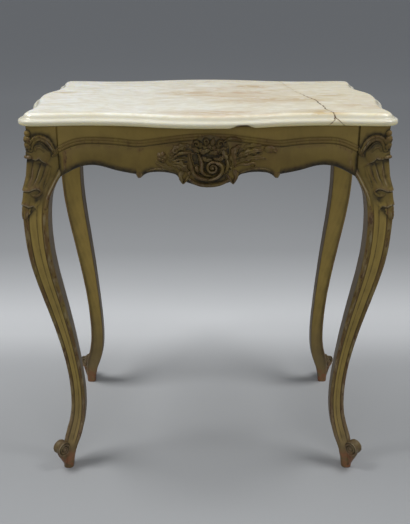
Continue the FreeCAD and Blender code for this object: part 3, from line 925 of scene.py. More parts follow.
@dataclass(frozen=True)
class PaleFloor:
    """Seamless grey paper with the studio's light painted in: its grey by distance behind its middle, in metres, is
    darker in front and under the table, brightest in a painted pool of light just behind it and lighter again far off
    where the lamps fall away.
    """

    greys_with_painted_light: tuple[Point, ...] = ((-0.5, 168.0), (-0.2, 178.0), (0.1, 194.0), (0.28, 206.0), (0.42, 227.0), (0.55, 227.0),
                                (0.8, 206.0), (1.1, 186.0), (1.5, 187.0), (4.5, 222.0), (12.0, 222.0))
    blue: int = 4
    tooth: Colour = (120, 124, 128)

    def make(self) -> Material:
        """Builds the material.

        Returns:
            The material.
        """
        desk = Desk("pale_floor", self.tooth)
        start, end = self.greys_with_painted_light[0][0], self.greys_with_painted_light[-1][0]
        share = desk.out("ShaderNodeMapRange", {"Value": desk.axes["Y"], "From Min": start, "From Max": end})
        ramp = desk.node("ShaderNodeValToRGB", {"Fac": share})
        stops = ramp.color_ramp.elements
        for depth, _ in self.greys_with_painted_light[1:-1]:
            stops.new((depth - start) / (end - start))
        for stop, (_, grey) in zip(stops, self.greys_with_painted_light):
            stop.color = linear((int(grey), int(grey) + self.blue // 2, int(grey) + self.blue))
        tooth = desk.noise(900.0, 2.0)
        desk.paint = ramp.outputs["Color"]
        desk.wash(self.tooth, tooth, 0.04)
        return desk.finish(desk.between(tooth, 0.55, 0.7), Specular_IOR_Level=0.2)


class SubAssembly:
    """A part of the table that builds its own pieces and dresses them."""

    body = "frame"
    slot = Slot.GILT

    def dress(self, piece: Object, material: Material, *nodes: str) -> None:
        """Gives a piece its finish and its place in the frame.

        Args:
            piece: the finished mesh object.
            material: its finish.
            *nodes: nodes that it stands for.
        """
        piece.data.materials.clear()
        piece.data.materials.append(material)
        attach(piece, self.body)
        if nodes:
            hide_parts(*nodes)
        log.info("%s: %d faces", piece.name, len(piece.data.polygons))


@dataclass
class OnyxSlab(SubAssembly):
    """The loose stone top: a moulded nose with a raised field, a chip in its lip and a forked crack."""

    body = "top"
    slot = Slot.ONYX
    half_front: float = 331.0
    half_back: float = 319.0
    half_y: float = 209.0
    corner: float = 28.0
    hollow_depth: float = 7.0
    hollow_x: float = 208.0
    hollow_y: float = 118.0
    bow_front: float = 29.0
    bow_side: float = 12.0
    bottom: float = FRAME_TOP
    nose: float = 10.5
    nose_round: float = 4.5
    under_round: float = 4.0
    # Inset and rise of the moulding over the nose
    ogee: tuple[Point, ...] = ((6.4, 0.4), (8.1, 1.6), (9.4, 3.4), (10.7, 5.4), (12.3, 7.3), (14.5, 8.7), (17.3, 9.35),
                               (21, 9.5))
    under_insets: Point = (60.0, 14.0)
    samples: int = 880
    side_steps: int = 400
    ear_steps: int = 60
    field_rings: int = 24
    round_steps: int = 8
    ogee_steps: int = 18
    chip_middle: float = 58.5
    chip_size: Point = (21.0, 7.0)
    chip_depth: float = 3.0
    chip_lift: float = 3.2
    chip_limits: Point = (-200.0, 5.0)
    # The crack in plan, from back to front, and the sways and pitches of its wander
    crack: tuple[Point, ...] = ((153, 240), (157, 194), (168, 110), (179, 36), (194, -20),
                                (205, -66), (210, -155), (219, -196), (226, -222), (232, -240))
    crack_sway: tuple[Point, ...] = ((1.0, 0.09), (0.6, 0.31))
    crack_fineness: float = 0.8
    fork_height: float = 13.0
    fork_slope: float = 1.1

    def side(self, along: float, outs: Point, hollow: float, peak: float) -> Array:
        """One side of the outline and the ear after it.

        Args:
            along: half length of the side.
            outs: how far its first and last ear lie from the middle.
            hollow: middle of the side to its hollows.
            peak: how far the crest of its bow lies from the middle.

        Returns:
            Places along the side and outward from the middle.
        """
        crest = along - self.corner
        run = np.linspace(-crest, crest, self.side_steps)
        far = np.abs(run)
        low = np.where(run < 0, *outs) - self.hollow_depth
        bowed = peak - cyma(np.minimum(far, hollow), hollow, peak - low)
        eared = low + cyma(np.clip(far - hollow, 0, None), crest - hollow, self.hollow_depth)
        angle = np.linspace(math.pi / 2, 0.0, self.ear_steps)[1:-1]
        ear = (crest, outs[1] - self.corner) + self.corner * np.stack([np.cos(angle), np.sin(angle)], 1)
        return np.concatenate([np.stack([run, np.where(far <= hollow, bowed, eared)], 1), ear])

    def outline(self) -> tuple[Array, Array]:
        """The outline at even steps and its outward normals, in plan.

        Returns:
            Places and normals, one in each row.
        """
        long_peak = self.half_y - self.hollow_depth + self.bow_front
        short_peak = self.half_front - self.hollow_depth + self.bow_side
        level, drawn = (self.half_y, self.half_y), (self.half_front, self.half_back)
        front = self.side(self.half_front, level, self.hollow_x, long_peak)
        right = self.side(self.half_y, drawn, self.hollow_y, short_peak)
        back = self.side(self.half_back, level, self.hollow_x, long_peak)
        left = self.side(self.half_y, drawn[::-1], self.hollow_y, short_peak)
        rough = np.concatenate([front * (1, -1), right[:, ::-1], back * (-1, 1), -left[:, ::-1]])
        ring = np.concatenate([rough, rough[:1]])
        run = lengths(ring)
        at = np.linspace(0.0, run[-1], self.samples, endpoint=False)
        even = np.stack([np.interp(at, run, ring[:, 0]), np.interp(at, run, ring[:, 1])], 1)
        tangent = np.roll(even, -1, 0) - np.roll(even, 1, 0)
        tangent /= np.hypot(*tangent.T)[:, None]
        return even, np.stack([tangent[:, 1], -tangent[:, 0]], 1)

    def profile(self) -> list[Point]:
        """Inset and height of the edge moulding, from the underside to the field.

        Returns:
            The places of the section.
        """
        turns = np.linspace(0.0, math.pi / 2, self.round_steps)
        ledge = self.bottom + self.nose
        under = [(self.under_round * (1 - math.sin(t)), self.bottom + self.under_round * (1 - math.cos(t)))
                 for t in turns]
        nose = [(self.nose_round * (1 - math.cos(t)), ledge - self.nose_round * (1 - math.sin(t))) for t in turns]
        rise = through([nose[-1]] + [(inset, ledge + up) for inset, up in self.ogee], self.ogee_steps)[1:]
        return [*((inset, self.bottom) for inset in self.under_insets), *under, *nose, *map(tuple, rise)]

    def build(self) -> Object:
        """Builds the slab.

        Returns:
            The slab.
        """
        even, normal = self.outline()
        rings = [np.column_stack([even - normal * inset, np.full(len(even), level)])
                 for inset, level in self.profile()]
        rings += [rings[-1] * (share, share, 1.0) for share in np.linspace(0.96, 0.04, self.field_rings)]
        points = np.stack(rings)
        across, depth, height = np.moveaxis(points, -1, 0)
        wide, tall = self.chip_size
        back, top = self.chip_limits
        chip = unit(1.0 - (((across - self.chip_middle) / wide) ** 2 + ((height - self.bottom) / tall) ** 2))
        chip *= depth < back
        depth += self.chip_depth * chip
        height += self.chip_lift * chip * (height < self.bottom + top)
        places, depths = zip(*self.crack[::-1])
        line = np.interp(depth, depths, places)
        line += sum(sway * np.sin(depth * pitch) for sway, pitch in self.crack_sway)
        drop = self.fork_slope * np.maximum(self.bottom + self.fork_height - height, 0.0)
        crack, fork = (self.crack_fineness * (across - line + shift) * MM for shift in (-drop, drop))
        sheet = Sheet()
        sheet.add_tube(points, crack=crack, fork=fork, chip=ease(0.35, 0.75, chip))
        return sheet.make("onyx_slab")


@dataclass
class CabrioleLeg(SubAssembly):
    """A leg with its stile, carved knee, hollow channels and rolled toe."""

    node: str
    mirror: Point
    seam: float = 0.7
    corner: Point = KNEE
    top: float = FRAME_TOP
    stile_foot: float = 629.0
    # Height, inset from the corner and thickness of each square section
    stations: tuple[Place, ...] = (
        (0, 29.5, 20), (40, 30.5, 26.5), (70, 36.5, 31.2), (105, 46.6, 29.6), (160, 52.2, 27.4), (220, 49.4, 27.1),
        (300, 38, 30.5), (390, 20, 36.5), (470, 5.3, 40.8), (530, 0.8, 42.6), (575, 3, 43), (604, 9, 44),
        (629, 14, 54.6))
    arris: Place = (5.0, 4.0, 3.0)
    # How much rounder the arrises are, by height
    roundness: tuple[Point, ...] = ((0.0, 1.9), (30.0, 1.6), (75.0, 1.0))
    channel_foot: Point = (48.0, 74.0)
    channel_head: Point = (598.0, 560.0)
    channel_depth: float = 2.4
    border_shares: Point = (0.17, 0.25)
    border_rises: Point = (1.3, 1.4)
    quirk_share: float = 0.58
    line_gap: float = 0.4
    line_cuts: Place = (1.1, 1.2, 0.6)
    channel_gap: float = 1.2
    knee_foot: Point = (560.0, 610.0)
    knee_head: Point = (706.0, 696.0)
    knee_shade: float = 0.24
    scroll_radius: float = 15.0
    scroll_half: float = 9.5
    scroll_inset: float = 30.0
    scroll_height: float = 49.5
    coil_pitch: float = 5.6
    coil_rise: float = 2.4
    eye_radius: float = 3.8
    eye_rise: float = 2.0
    waist: float = 1.6
    # How far in from the rim of the scroll's face, and how far out it lies there
    rim: tuple[Point, ...] = ((1.4, 8.4), (0.6, 8.1), (0.0, 7.4))
    toe_sides: int = 72
    face_rings: int = 26
    barrel_rings: int = 13
    shoe_rings: int = 24
    heel: float = 8.0
    shoe_roundness: float = 0.75
    # Height, reach outward and half width of the shoe
    shoe: tuple[Place, ...] = ((1.5, -5, 5.6), (8, -3.2, 6.6), (15, 0, 7.6), (25, 5, 8.6), (33, 8.8, 9.2),
                               (39, 10.6, 9.5), (46, 10.8, 9.5))
    # How far the knee's leaf stands proud and half its width, by height
    proud: tuple[Point, ...] = ((540, 0), (560, 1.5), (575, 4), (590, 6), (607, 8), (622, 7.5), (636, 6), (652, 3.5),
                                (666, 1.5), (684, 0))
    leaf_half: tuple[Point, ...] = ((552, 3), (570, 15), (585, 24), (600, 30), (612, 34), (640, 40), (664, 38),
                                    (684, 30))
    zones: Point = (90.0, 480.0)
    zone_rows: tuple[int, int, int] = (46, 120, 190)
    # Painted shadows in the knee's hollows: distance from the arris, height and reach
    knee_shadows: tuple[Place, ...] = ((32, 684, 7), (30, 651, 4), (19, 592, 6), (14, 571, 4))

    def heights(self) -> Array:
        """Heights of the rows, closer together over the carving.

        Returns:
            The heights from the floor up.
        """
        limits = (0.0, *self.zones, self.top)
        zones = [np.linspace(low, high, rows)[:-1] for low, high, rows in zip(limits, limits[1:], self.zone_rows)]
        return np.append(np.concatenate(zones), self.top)

    def section(self, near: Array, thick: Array, swell: Array
                ) -> tuple[Array, Array, Array]:
        """Rounded square sections.

        Args:
            near: inset of each row.
            thick: thickness of each row.
            swell: how much rounder than usual each row's arrises are.

        Returns:
            Places from the knee corner, outward normals, and distances round from the outer arris.
        """
        outer, edge, inner = self.arris
        radii = [swell * radius for radius in (outer, edge, inner, edge)]
        counts = [(46, 8), (10, 6), (10, 8), (46, 10)]
        along = [np.array(step, float) for step in ((1, 0), (0, 1), (-1, 0), (0, -1))]
        out = along[-1:] + along[:-1]
        corners = [np.array(place, float) for place in ((0, 0), (1, 0), (1, 1), (0, 1))]
        places, normals = [], []
        for side in range(4):
            lines, arcs = counts[side]
            ahead = (side + 1) % 4
            base = near[:, None] + thick[:, None] * corners[side]
            for share in np.linspace(0.0, 1.0, lines, endpoint=False):
                run = radii[side] + share * (thick - radii[side] - radii[ahead])
                places.append(base + run[:, None] * along[side])
                normals.append(np.broadcast_to(out[side], base.shape))
            turned = radii[ahead][:, None]
            centre = near[:, None] + thick[:, None] * corners[ahead] - turned * (along[side] + out[side])
            for turn in np.linspace(0.0, math.pi / 2, arcs, endpoint=False):
                normal = math.cos(turn) * out[side] + math.sin(turn) * along[side]
                places.append(centre + turned * normal)
                normals.append(np.broadcast_to(normal, base.shape))
        shape, normal = np.stack(places, 1), np.stack(normals, 1)
        step = np.linalg.norm(np.diff(shape, axis=1, append=shape[:, :1]), axis=-1)
        total = step.sum(1, keepdims=True)
        run = (np.cumsum(step, 1) - step + radii[0][:, None] * math.pi / 4) % total
        return shape, normal, np.minimum(run, total - run)

    def channel(self, height: Array, away: Array, thick: Array
                ) -> tuple[Array, Array, Array]:
        """The hollow channels of the two outer faces and the beads beside them.

        Args:
            height: height of each place.
            away: distance round from the outer arris.
            thick: thickness of the leg there.

        Returns:
            Carved height, gilding and wear of each place.
        """
        strength = ease(*self.channel_foot, height) * ease(*self.channel_head, height)
        outer, inner = (share * thick for share in self.border_shares)
        first, last = outer + self.channel_gap, thick - inner - self.channel_gap
        depth = -self.channel_depth * np.sin(math.pi * unit((away - first) / (last - first))) ** 0.7
        arris = self.border_rises[0] * half_round(away / outer)
        bead = self.border_rises[1] * half_round((away - (thick - inner / 2)) / (inner / 2))
        quirk = first + self.quirk_share * (last - first)
        start, end = first - self.line_gap, last + self.line_gap
        lines = sum(-cut * bell(away - place, 0.9) for place, cut in zip((start, end, quirk), self.line_cuts))
        gold = ease(start, first + self.channel_gap, away) * ease(end, last - self.channel_gap, away)
        worn = 0.5 * (1.0 - gold) * ease(thick + 2.0, thick, away)
        return strength * (depth + arris + bead + lines), strength * gold, strength * worn

    def knee(self, height: Array, away: Array) -> tuple[Array, Array]:
        """The knee's carving: a scroll round a cabochon above a long fluted leaf.

        Args:
            height: height of each place.
            away: distance round from the outer arris.

        Returns:
            Carved height of each place and its painted highlight.
        """
        share = unit(away / graded(self.leaf_half, height))
        ground = HeightMap(away, height, graded(self.proud, height) * (1.0 - share**2) ** 1.8)
        forms = [
            Dome((16, 671), (24, 21), 3.6, groove=0),
            Roll(((6, 679), (6.5, 686), (11, 693.5), (20, 698.5), (29.5, 697), (37, 691), (42.5, 682.5),
                  (47.5, 673)), 5.4, 6.2, 0, (0.8, 0.5), 3.2, 1.5),
            Roll(((9, 680.5), (12, 687), (18.5, 691.5), (26, 690.5), (31.5, 685), (36.5, 677)), 1.5, 1.6,
                 None, (0.8, 0.5), groove=0.8),
            Roll(((14, 677), (18, 682.5), (24, 681.5), (29, 675)), 1.6, 1, None, (0.6, 0.4), groove=0.6),
            Fold(((34, 695), (39, 688), (43.5, 680), (47, 673.5)), 2, 0.5, undercut=0.2),
            Dome((0, 706), (7, 6), 3.4),
            Leaf(((6, 688), (3.5, 696), (0, 703)), 5.5, 4.6, 1, 2),
            Leaf(((5, 680), (2, 686), (0, 692)), 4.5, 4, 1, 2),
            Dome((2.5, 665), (4, 3.4), 3.4, base=2),
            Roll(((54.6, 681.4), (50.5, 677.5), (47, 673)), 2.3, 2, None, (1, 0.6), groove=0.9),
            Roll(((54.6, 676.6), (50, 672.5), (43, 667)), 2.3, 2.2, None, (1, 0.6), groove=0.9),
            Fold(((0, 663), (5, 663.5), (10, 661.8), (15, 661.2), (20, 663), (25, 658.5), (30, 655.5),
                  (35.5, 651.5)), 6, 2.2),
            Fold(((11, 659), (6.5, 638), (3, 614)), 3, 0.9, (0.5, 0.5), 0.8, 0.45),
            Fold(((23, 653), (17, 636), (10.5, 616)), 3.5, 1, (0.4, 0.4), 0.9, 0.65),
            Fold(((31, 648), (26, 634), (20, 616)), 4, 0.8, (0.3, 0.3), 0.6, 0.25),
            Roll(((38, 647), (33, 631), (28, 612)), 2, 0.8, None, (0.3, 0.3), groove=0.6),
            Fold(((-1, 606), (4, 606.5), (9, 608.5), (15, 610), (20, 608.5), (24, 604.5)), 6, 2.4,
                 undercut=1.1, highlight_strength=1),
            Roll(((24.5, 603), (22, 598.5), (16, 597), (9, 600)), 2.4, 1.5, None, (0.8, 0.4), groove=0.6),
            Dome((10, 586), (15, 12), 1.4, groove=0),
            Fold(((-1, 583), (4, 580), (9, 577.5), (14, 579), (18.5, 575)), 5, 1.8, undercut=0.9),
            Leaf(((6, 578), (5, 568), (2.5, 555)), 6, 2.2, 1.2, 3, 0.5),
            Roll(((55.5, 641), (50, 631.5), (45, 619), (40.5, 606), (38, 592), (36.5, 575)), 4, 2.8,
                 None, (0.9, 0.6), groove=0.6),
            Fold(((54, 640), (49, 631), (44, 619), (39.5, 606), (36.5, 592)), 2, 0.4, (0.5, 0.5), 0.2),
        ]
        for form in forms:
            form.carve(ground)
        return ground.grid(), ground.highlight_grid()

    def build(self) -> Object:
        """Builds the leg, for the front left corner and then mirrored.

        Returns:
            The leg.
        """
        height = self.heights()
        low = np.minimum(height, self.stile_foot)
        knots, insets, thicks = zip(*self.stations)
        near, thick = spline(knots, insets, low), spline(knots, thicks, low)
        shape, normal, away = self.section(near, thick, graded(self.roundness, height))
        up, wide = (np.broadcast_to(rows[:, None], away.shape) for rows in (height, thick))
        carved, gold, worn = self.channel(up, away, wide)
        upper = height > self.proud[0][0]
        relief, bright = self.knee(up[upper], away[upper])
        carved[upper] += relief
        # The knee's painted highlights are added to the worn values, up to 2 where strongest
        worn[upper] += 2.0 * bright
        # The unevenness of hand work, and a flat end under the slab
        carved += 0.12 * np.sin(up * 0.11 + away * 0.23) * np.sin(up * 0.047 - away * 0.31)
        carved *= ease(self.top, self.top - 8.0, up)
        mean, broad = blurred(carved, (4, 5), True), blurred(carved, (10, 9), True)
        # Painted shade: darker in the carving's recesses, over the knee and in painted shadows in its hollows
        hollow = unit((mean - carved) / 0.9) * 0.75 + unit((broad - carved) / 3.0) * 0.5
        hollow += self.knee_shade * ease(*self.knee_foot, up) * ease(*self.knee_head, up) * (away < wide)
        for across, level, reach in self.knee_shadows:
            hollow += 0.5 * np.exp(-(((away - across) / reach) ** 2) - ((up - level) / reach) ** 2)
        # The ribbon beside the knee's leaf gets less of the painted shade
        hollow *= 1.0 - 0.6 * ease(27.0, 33.0, away) * ease(wide - 3.0, wide - 8.0, away) * ease(672.0, 662.0, up)
        seam = self.seam * bell(away - wide + 1.5, 1.1) * ease(632.0, 640.0, up)
        plan = shape + normal * (carved - 0.8 * seam)[..., None] - self.corner
        # The inner faces and the stile keep some of the gilding
        beyond = ease(1.0, 5.0, away - wide) * ease(705.0, 640.0, up)
        flank = ease(0.4, 0.8, normal[..., 0])
        stile = np.maximum(ease(704.0, 710.0, up), ease(36.0, 46.0, away) * ease(684.0, 694.0, up)) * (away < wide)
        gold = np.maximum(np.maximum(gold, 0.55 * beyond * (1.0 - flank)), 0.4 * stile)
        # Wear on raised places and worn edges; values above 1 are painted highlights
        wear = np.clip(unit((carved - mean) / 0.9) * 0.6 + worn, 0, 2)
        sheet = Sheet()
        # The shade values hold the painted shade and the dark lines of the open seams
        sheet.add_tube(np.dstack([plan, up]), cavity=unit(hollow + 0.9 * seam), gold=gold, inside=beyond * flank,
                       wear=wear)
        self.roll_toe(sheet)
        return sheet.make(self.node + "_carved", mirror=self.mirror)

    def roll_toe(self, sheet: Sheet) -> None:
        """Adds the rolled toe: a drum with a scroll on each end, and the shoe under it.

        Args:
            sheet: the leg's sheet.
        """
        turns = np.linspace(0.0, 2 * math.pi, self.toe_sides, endpoint=False)
        radius = self.scroll_radius
        face_reach = np.linspace(0.3, radius - self.rim[0][0], self.face_rings)
        reach = np.concatenate([face_reach, [radius - self.rim[1][0], radius - 0.1, radius]])
        barrel = np.linspace(self.scroll_half, -self.scroll_half, self.barrel_rings)[:, None]
        phase = (reach[:, None] - 3.0) / self.coil_pitch - turns / (2 * math.pi)
        coil = self.coil_rise * (0.5 + 0.5 * np.cos(2 * math.pi * phase)) * ease(3.0, 5.0, reach)[:, None]
        eye = self.eye_rise * half_round(reach / self.eye_radius)[:, None]
        face = graded([(radius - back, out) for back, out in self.rim], reach)[:, None] + coil + eye
        waist = np.broadcast_to(radius - self.waist * unit(1.0 - (barrel / 7.5) ** 2), (len(barrel), len(turns)))
        wide = np.broadcast_to(reach[:, None], face.shape)
        run = np.concatenate([face, np.broadcast_to(barrel * 0.8, waist.shape), -face[::-1]])
        # Painted shade in the coil's grooves; the drum is darkened evenly
        dark = (1.0 - coil / self.coil_rise) * ease(2.5, 4.5, reach)[:, None]
        dark = np.concatenate([dark, np.full(waist.shape, 0.4), dark[::-1]])
        radial = np.cos(turns)[:, None] * self.toe_axes()[0] + np.sin(turns)[:, None] * (0.0, 0.0, 1.0)
        points = self.toe_place(np.zeros(1), run, self.scroll_height)
        points = points + np.concatenate([wide, waist, wide[::-1]])[..., None] * radial
        # Painted highlight along the upper half of the scroll's rim
        rim = 0.8 * ease(radius - 3.0, radius - 1.0, wide) * ease(-0.2, 0.5, np.sin(turns))
        lit = np.concatenate([rim, np.zeros_like(waist), rim[::-1]])
        # Painted highlights on the coil's ridges and the rim
        sheet.add_tube(points, cavity=0.9 * dark, gold=0.2, inside=0.0,
                       wear=np.clip(1.4 - 1.8 * dark + 1.5 * lit, 0, 2))
        levels = np.linspace(self.shoe[0][0], self.shoe[-1][0], self.shoe_rings)
        knots, tips, halves = zip(*self.shoe)
        tip, half = (spline(knots, sizes, levels)[:, None] for sizes in (tips, halves))
        bend = [np.sign(part(turns)) * np.abs(part(turns)) ** self.shoe_roundness for part in (np.cos, np.sin)]
        out = (tip - self.heel) / 2 + (tip + self.heel) / 2 * bend[0]
        # The shoe is darkened and worn evenly
        sheet.add_tube(self.toe_place(out, half * bend[1], levels[:, None]), cavity=0.25, gold=0.0, inside=0.0,
                       wear=0.4)

    def toe_axes(self) -> Array:
        """The toe's outward diagonal and, across it, the axis of its scroll."""
        return np.array([[-1.0, -1.0, 0.0], [1.0, -1.0, 0.0]]) / math.sqrt(2)

    def toe_place(self, out: Array, across: Array, height: Array | float) -> Array:
        """Places about the toe, in millimetres.

        Args:
            out: distance outward from the scroll's axis.
            across: distance along the axis.
            height: height above the floor.

        Returns:
            The places.
        """
        near = np.array([*(self.scroll_inset - place for place in self.corner), 0.0])
        outward, along = self.toe_axes()
        level = np.broadcast_to(height, np.broadcast_shapes(np.shape(out), np.shape(across)))
        return near + out[..., None] * outward + across[..., None] * along + level[..., None] * (0.0, 0.0, 1.0)


@dataclass
class SerpentineRail(SubAssembly):
    """An apron rail: flat fascia, bead moulding and a swelling panel over a scalloped edge."""

    node: str
    side: Side
    half_length: float
    face: float
    bow: float
    hollow: float
    runs: tuple[tuple[Point, ...], ...]
    moulding: tuple[Point, ...]
    seams: Point = (0.7, 0.7)
    thick: float = 24.0
    hem: float = 8.0
    swell: float = 3.2
    swell_fade: float = 12.0
    panel_gap: float = 5.8
    # Lines cut beside the bead: height over it and depth
    quirks: tuple[Point, ...] = ((5.2, 0.4), (-5.2, 0.8))
    bead_sunk: float = 2.0
    top: float = FRAME_TOP
    end_gap: float = 0.2
    bead_end_gap: float = 0.6
    columns: int = 400
    rows: int = 104
    row_crowding: float = 1.15
    bead_steps: int = 150

    def front(self, along: Array) -> Array:
        """How far the serpentine face lies from the middle of the table.

        Args:
            along: distance from the middle of the rail.

        Returns:
            The distances outward.
        """
        radius = (self.hollow**2 + self.bow**2) / (4 * self.bow)
        dip = sag(radius, self.half_length - self.hollow)
        crest = self.face - dip + self.bow
        far = np.abs(along)
        beyond = sag(radius, np.clip(far - self.hollow, 0, None))
        return np.where(far <= self.hollow, crest - cyma(np.minimum(far, self.hollow), self.hollow, self.bow),
                        crest - self.bow + beyond)

    def edge(self, along: Array) -> Array:
        """Height of the scalloped lower edge: each run is a smooth curve, and runs meet in points.

        Args:
            along: distance from the middle of the rail.

        Returns:
            The heights.
        """
        far = np.abs(along)
        level = np.zeros_like(far)
        for run in self.runs:
            places, levels = zip(*run)
            inside = (far >= places[0]) & (far <= places[-1])
            level[inside] = spline(places, levels, far[inside])
        return level

    def bead_line(self, along: Array) -> Array:
        """Height of the bead moulding.

        Args:
            along: distance from the middle of the rail.

        Returns:
            The heights.
        """
        places = sorted(self.moulding)
        return spline([-place for place, _ in places[::-1]] + [place for place, _ in places],
                      [level for _, level in places[::-1]] + [level for _, level in places], along)

    def relief(self, along: Array, up: Array) -> Array:
        """Shape of the face, proud of its serpentine plane.

        Args:
            along: distance from the middle of the rail.
            up: height.

        Returns:
            Height of the relief.
        """
        low, bead = self.edge(along), self.bead_line(along)
        ends = ease(self.half_length, self.half_length - self.swell_fade, np.abs(along))
        share = unit((up - low) / (bead - self.panel_gap - low))
        swell = self.swell * np.sin(math.pi * share) ** 0.6
        under = sag(self.hem, np.clip(self.hem - (up - low), 0.0, self.hem))
        lines = sum(-depth * bell(up - (bead + gap), 1.3) for gap, depth in self.quirks)
        return ends * swell + lines - 0.4 * under

    def columns_along(self) -> Array:
        """Places of the columns, with the points of the lower edge among them.

        Returns:
            Distances from the middle of the rail.
        """
        points = [run[-1][0] for run in self.runs[:-1]]
        reach = self.half_length - self.end_gap
        even = np.linspace(-reach, reach, self.columns)
        return np.unique(np.concatenate([even, points, [-place for place in points]]))

    def build(self) -> Object:
        """Builds the rail.

        Returns:
            The rail.
        """
        along = self.columns_along()
        low = self.edge(along)
        share = np.linspace(0.0, 1.0, self.rows) ** self.row_crowding
        up = low[:, None] + share * (self.top - low[:, None])
        place = np.broadcast_to(along[:, None], up.shape)
        relief = self.relief(place, up)
        seam = bell(self.half_length - np.abs(place), 1.4) * np.where(place < 0, *self.seams)
        mean = blurred(relief, (4, 4), False)
        rise = up - low[:, None]
        # Painted shade in the recesses and towards the rolled-under lower edge, and the dark lines of the open seams
        dark = unit((mean - relief) / 0.6) * 0.8 + ease(15.0, 3.0, rise) + 0.95 * seam
        # Painted light lifts the fascia above the bead, where the slab's overhang shades it
        fascia = 0.4 * ease(4.0, 9.0, up - self.bead_line(place))
        # Wear and painted crest highlights on raised places, and a line of them along the top of the rolled lower edge
        wear = 0.8 * unit((relief - mean) / 0.5) * ease(4.0, 10.0, rise) + 0.6 * bell(rise - 8.5, 0.9)
        sheet = Sheet()
        sheet.add_board(along, self.front(place) + relief - 0.8 * seam, up, self.face - self.thick,
                        (self.top, low[:, None]), 1.0, cavity=unit(dark), gold=fascia, wear=unit(wear))
        return sheet.make(self.node + "_moulded", self.side.value)

    def bead_path(self, drop: float) -> Array:
        """Path of one strand of the bead moulding on the face.

        Args:
            drop: how far the strand lies below the moulding's line.

        Returns:
            Places in metres.
        """
        reach = self.half_length - self.bead_end_gap
        along = np.linspace(-reach, reach, self.bead_steps)
        depth = -(self.front(along) - self.bead_sunk)
        return np.stack([*rotated(along, depth, self.side.value), self.bead_line(along) - drop], 1) * MM


@dataclass
class Cartouche(SubAssembly):
    """The carved ornament on the middle of a rail."""

    node: str
    rail: SerpentineRail
    reach: Point
    crest: float
    forms: tuple[Form, ...]
    columns: int
    sunk: float = 2.5
    depth: float = 12.0
    hem: float = 5.0
    hem_limit: float = 4.0
    edge_drop: float = 0.4
    back_rise: float = 1.5
    rows: int = 130

    def build(self) -> Object:
        """Builds the carving as a closed shell let into the rail's face.

        Returns:
            The carving.
        """
        along = np.linspace(*self.reach, self.columns)
        low = self.rail.edge(along) - self.edge_drop
        share = np.linspace(0.0, 1.0, self.rows)
        up = low[:, None] + share * (self.crest - low[:, None])
        place = np.broadcast_to(along[:, None], up.shape)
        bare = self.rail.relief(place, np.maximum(up, self.rail.edge(place))) - self.sunk
        ground = HeightMap(place, up, bare)
        for form in self.forms:
            form.carve(ground)
        carved = ground.grid()
        hem = np.clip(self.hem - (up - low[:, None]), 0.0, self.hem)
        carved = np.maximum(carved - self.hem + np.sqrt(self.hem**2 - hem**2), bare - self.hem_limit)
        mean, broad = blurred(carved, (4, 4), False), blurred(carved, (11, 11), False)
        # Painted shade in the carving's recesses, and painted shade over the whole carving that is deepest in its
        # middle
        dark = unit((mean - carved) / 1.0) * 0.7 + unit((broad - carved) / 3.5) * 0.7
        dark += 0.2 + 0.25 * bell(place, 0.4 * self.reach[1])
        # Wear and painted crest highlights on raised places
        wear = 0.75 * unit((carved - mean) / 1.2)
        front = self.rail.front(along)[:, None]
        sheet = Sheet()
        sheet.add_board(along, front + carved, up, front - self.depth, (self.crest, low[:, None] + self.back_rise),
                        0.0, cavity=unit(dark), wear=wear)
        return sheet.make(self.node + "_carved", self.rail.side.value)


class NodeRun(NodeDesk):
    """A geometry tree that is run once on a path or a cloud of points."""

    def __init__(self, name: str, sizes: dict[str, float]) -> None:
        """Starts the tree.

        Args:
            name: the tree's name.
            sizes: its named inputs in metres.
        """
        self.tree = bpy.data.node_groups.new(name, "GeometryNodeTree")
        face = self.tree.interface
        face.new_socket("Geometry", in_out="INPUT", socket_type="NodeSocketGeometry")
        self.material = face.new_socket("Material", in_out="INPUT", socket_type="NodeSocketMaterial")
        self.sizes = {label: face.new_socket(label, in_out="INPUT", socket_type="NodeSocketFloat") for label in sizes}
        for label, value in sizes.items():
            self.sizes[label].default_value = value
        face.new_socket("Geometry", in_out="OUTPUT", socket_type="NodeSocketGeometry")
        self.entry = self.node("NodeGroupInput", {}).outputs

    def close(self, geometry: NodeSocket) -> None:
        """Ends the tree: real geometry with its material.

        Args:
            geometry: what the tree has made.
        """
        real = self.out("GeometryNodeRealizeInstances", {"Geometry": geometry})
        self.node("NodeGroupOutput", {0: self.out("GeometryNodeSetMaterial", {
            "Geometry": real, "Material": self.entry["Material"]})})

    def run(self, name: str, mesh: Mesh, material: Material) -> Object:
        """Runs the tree on a mesh.

        Args:
            name: name of the finished piece.
            mesh: the path or points.
            material: its finish.

        Returns:
            An object with the result as a plain mesh.
        """
        piece = placed(name, mesh)
        modifier = piece.modifiers.new(self.tree.name, "NODES")
        modifier.node_group = self.tree
        modifier[self.material.identifier] = material
        bpy.context.view_layer.update()
        done = bpy.data.meshes.new_from_object(piece.evaluated_get(bpy.context.evaluated_depsgraph_get()))
        piece.modifiers.clear()
        piece.data = done
        return piece


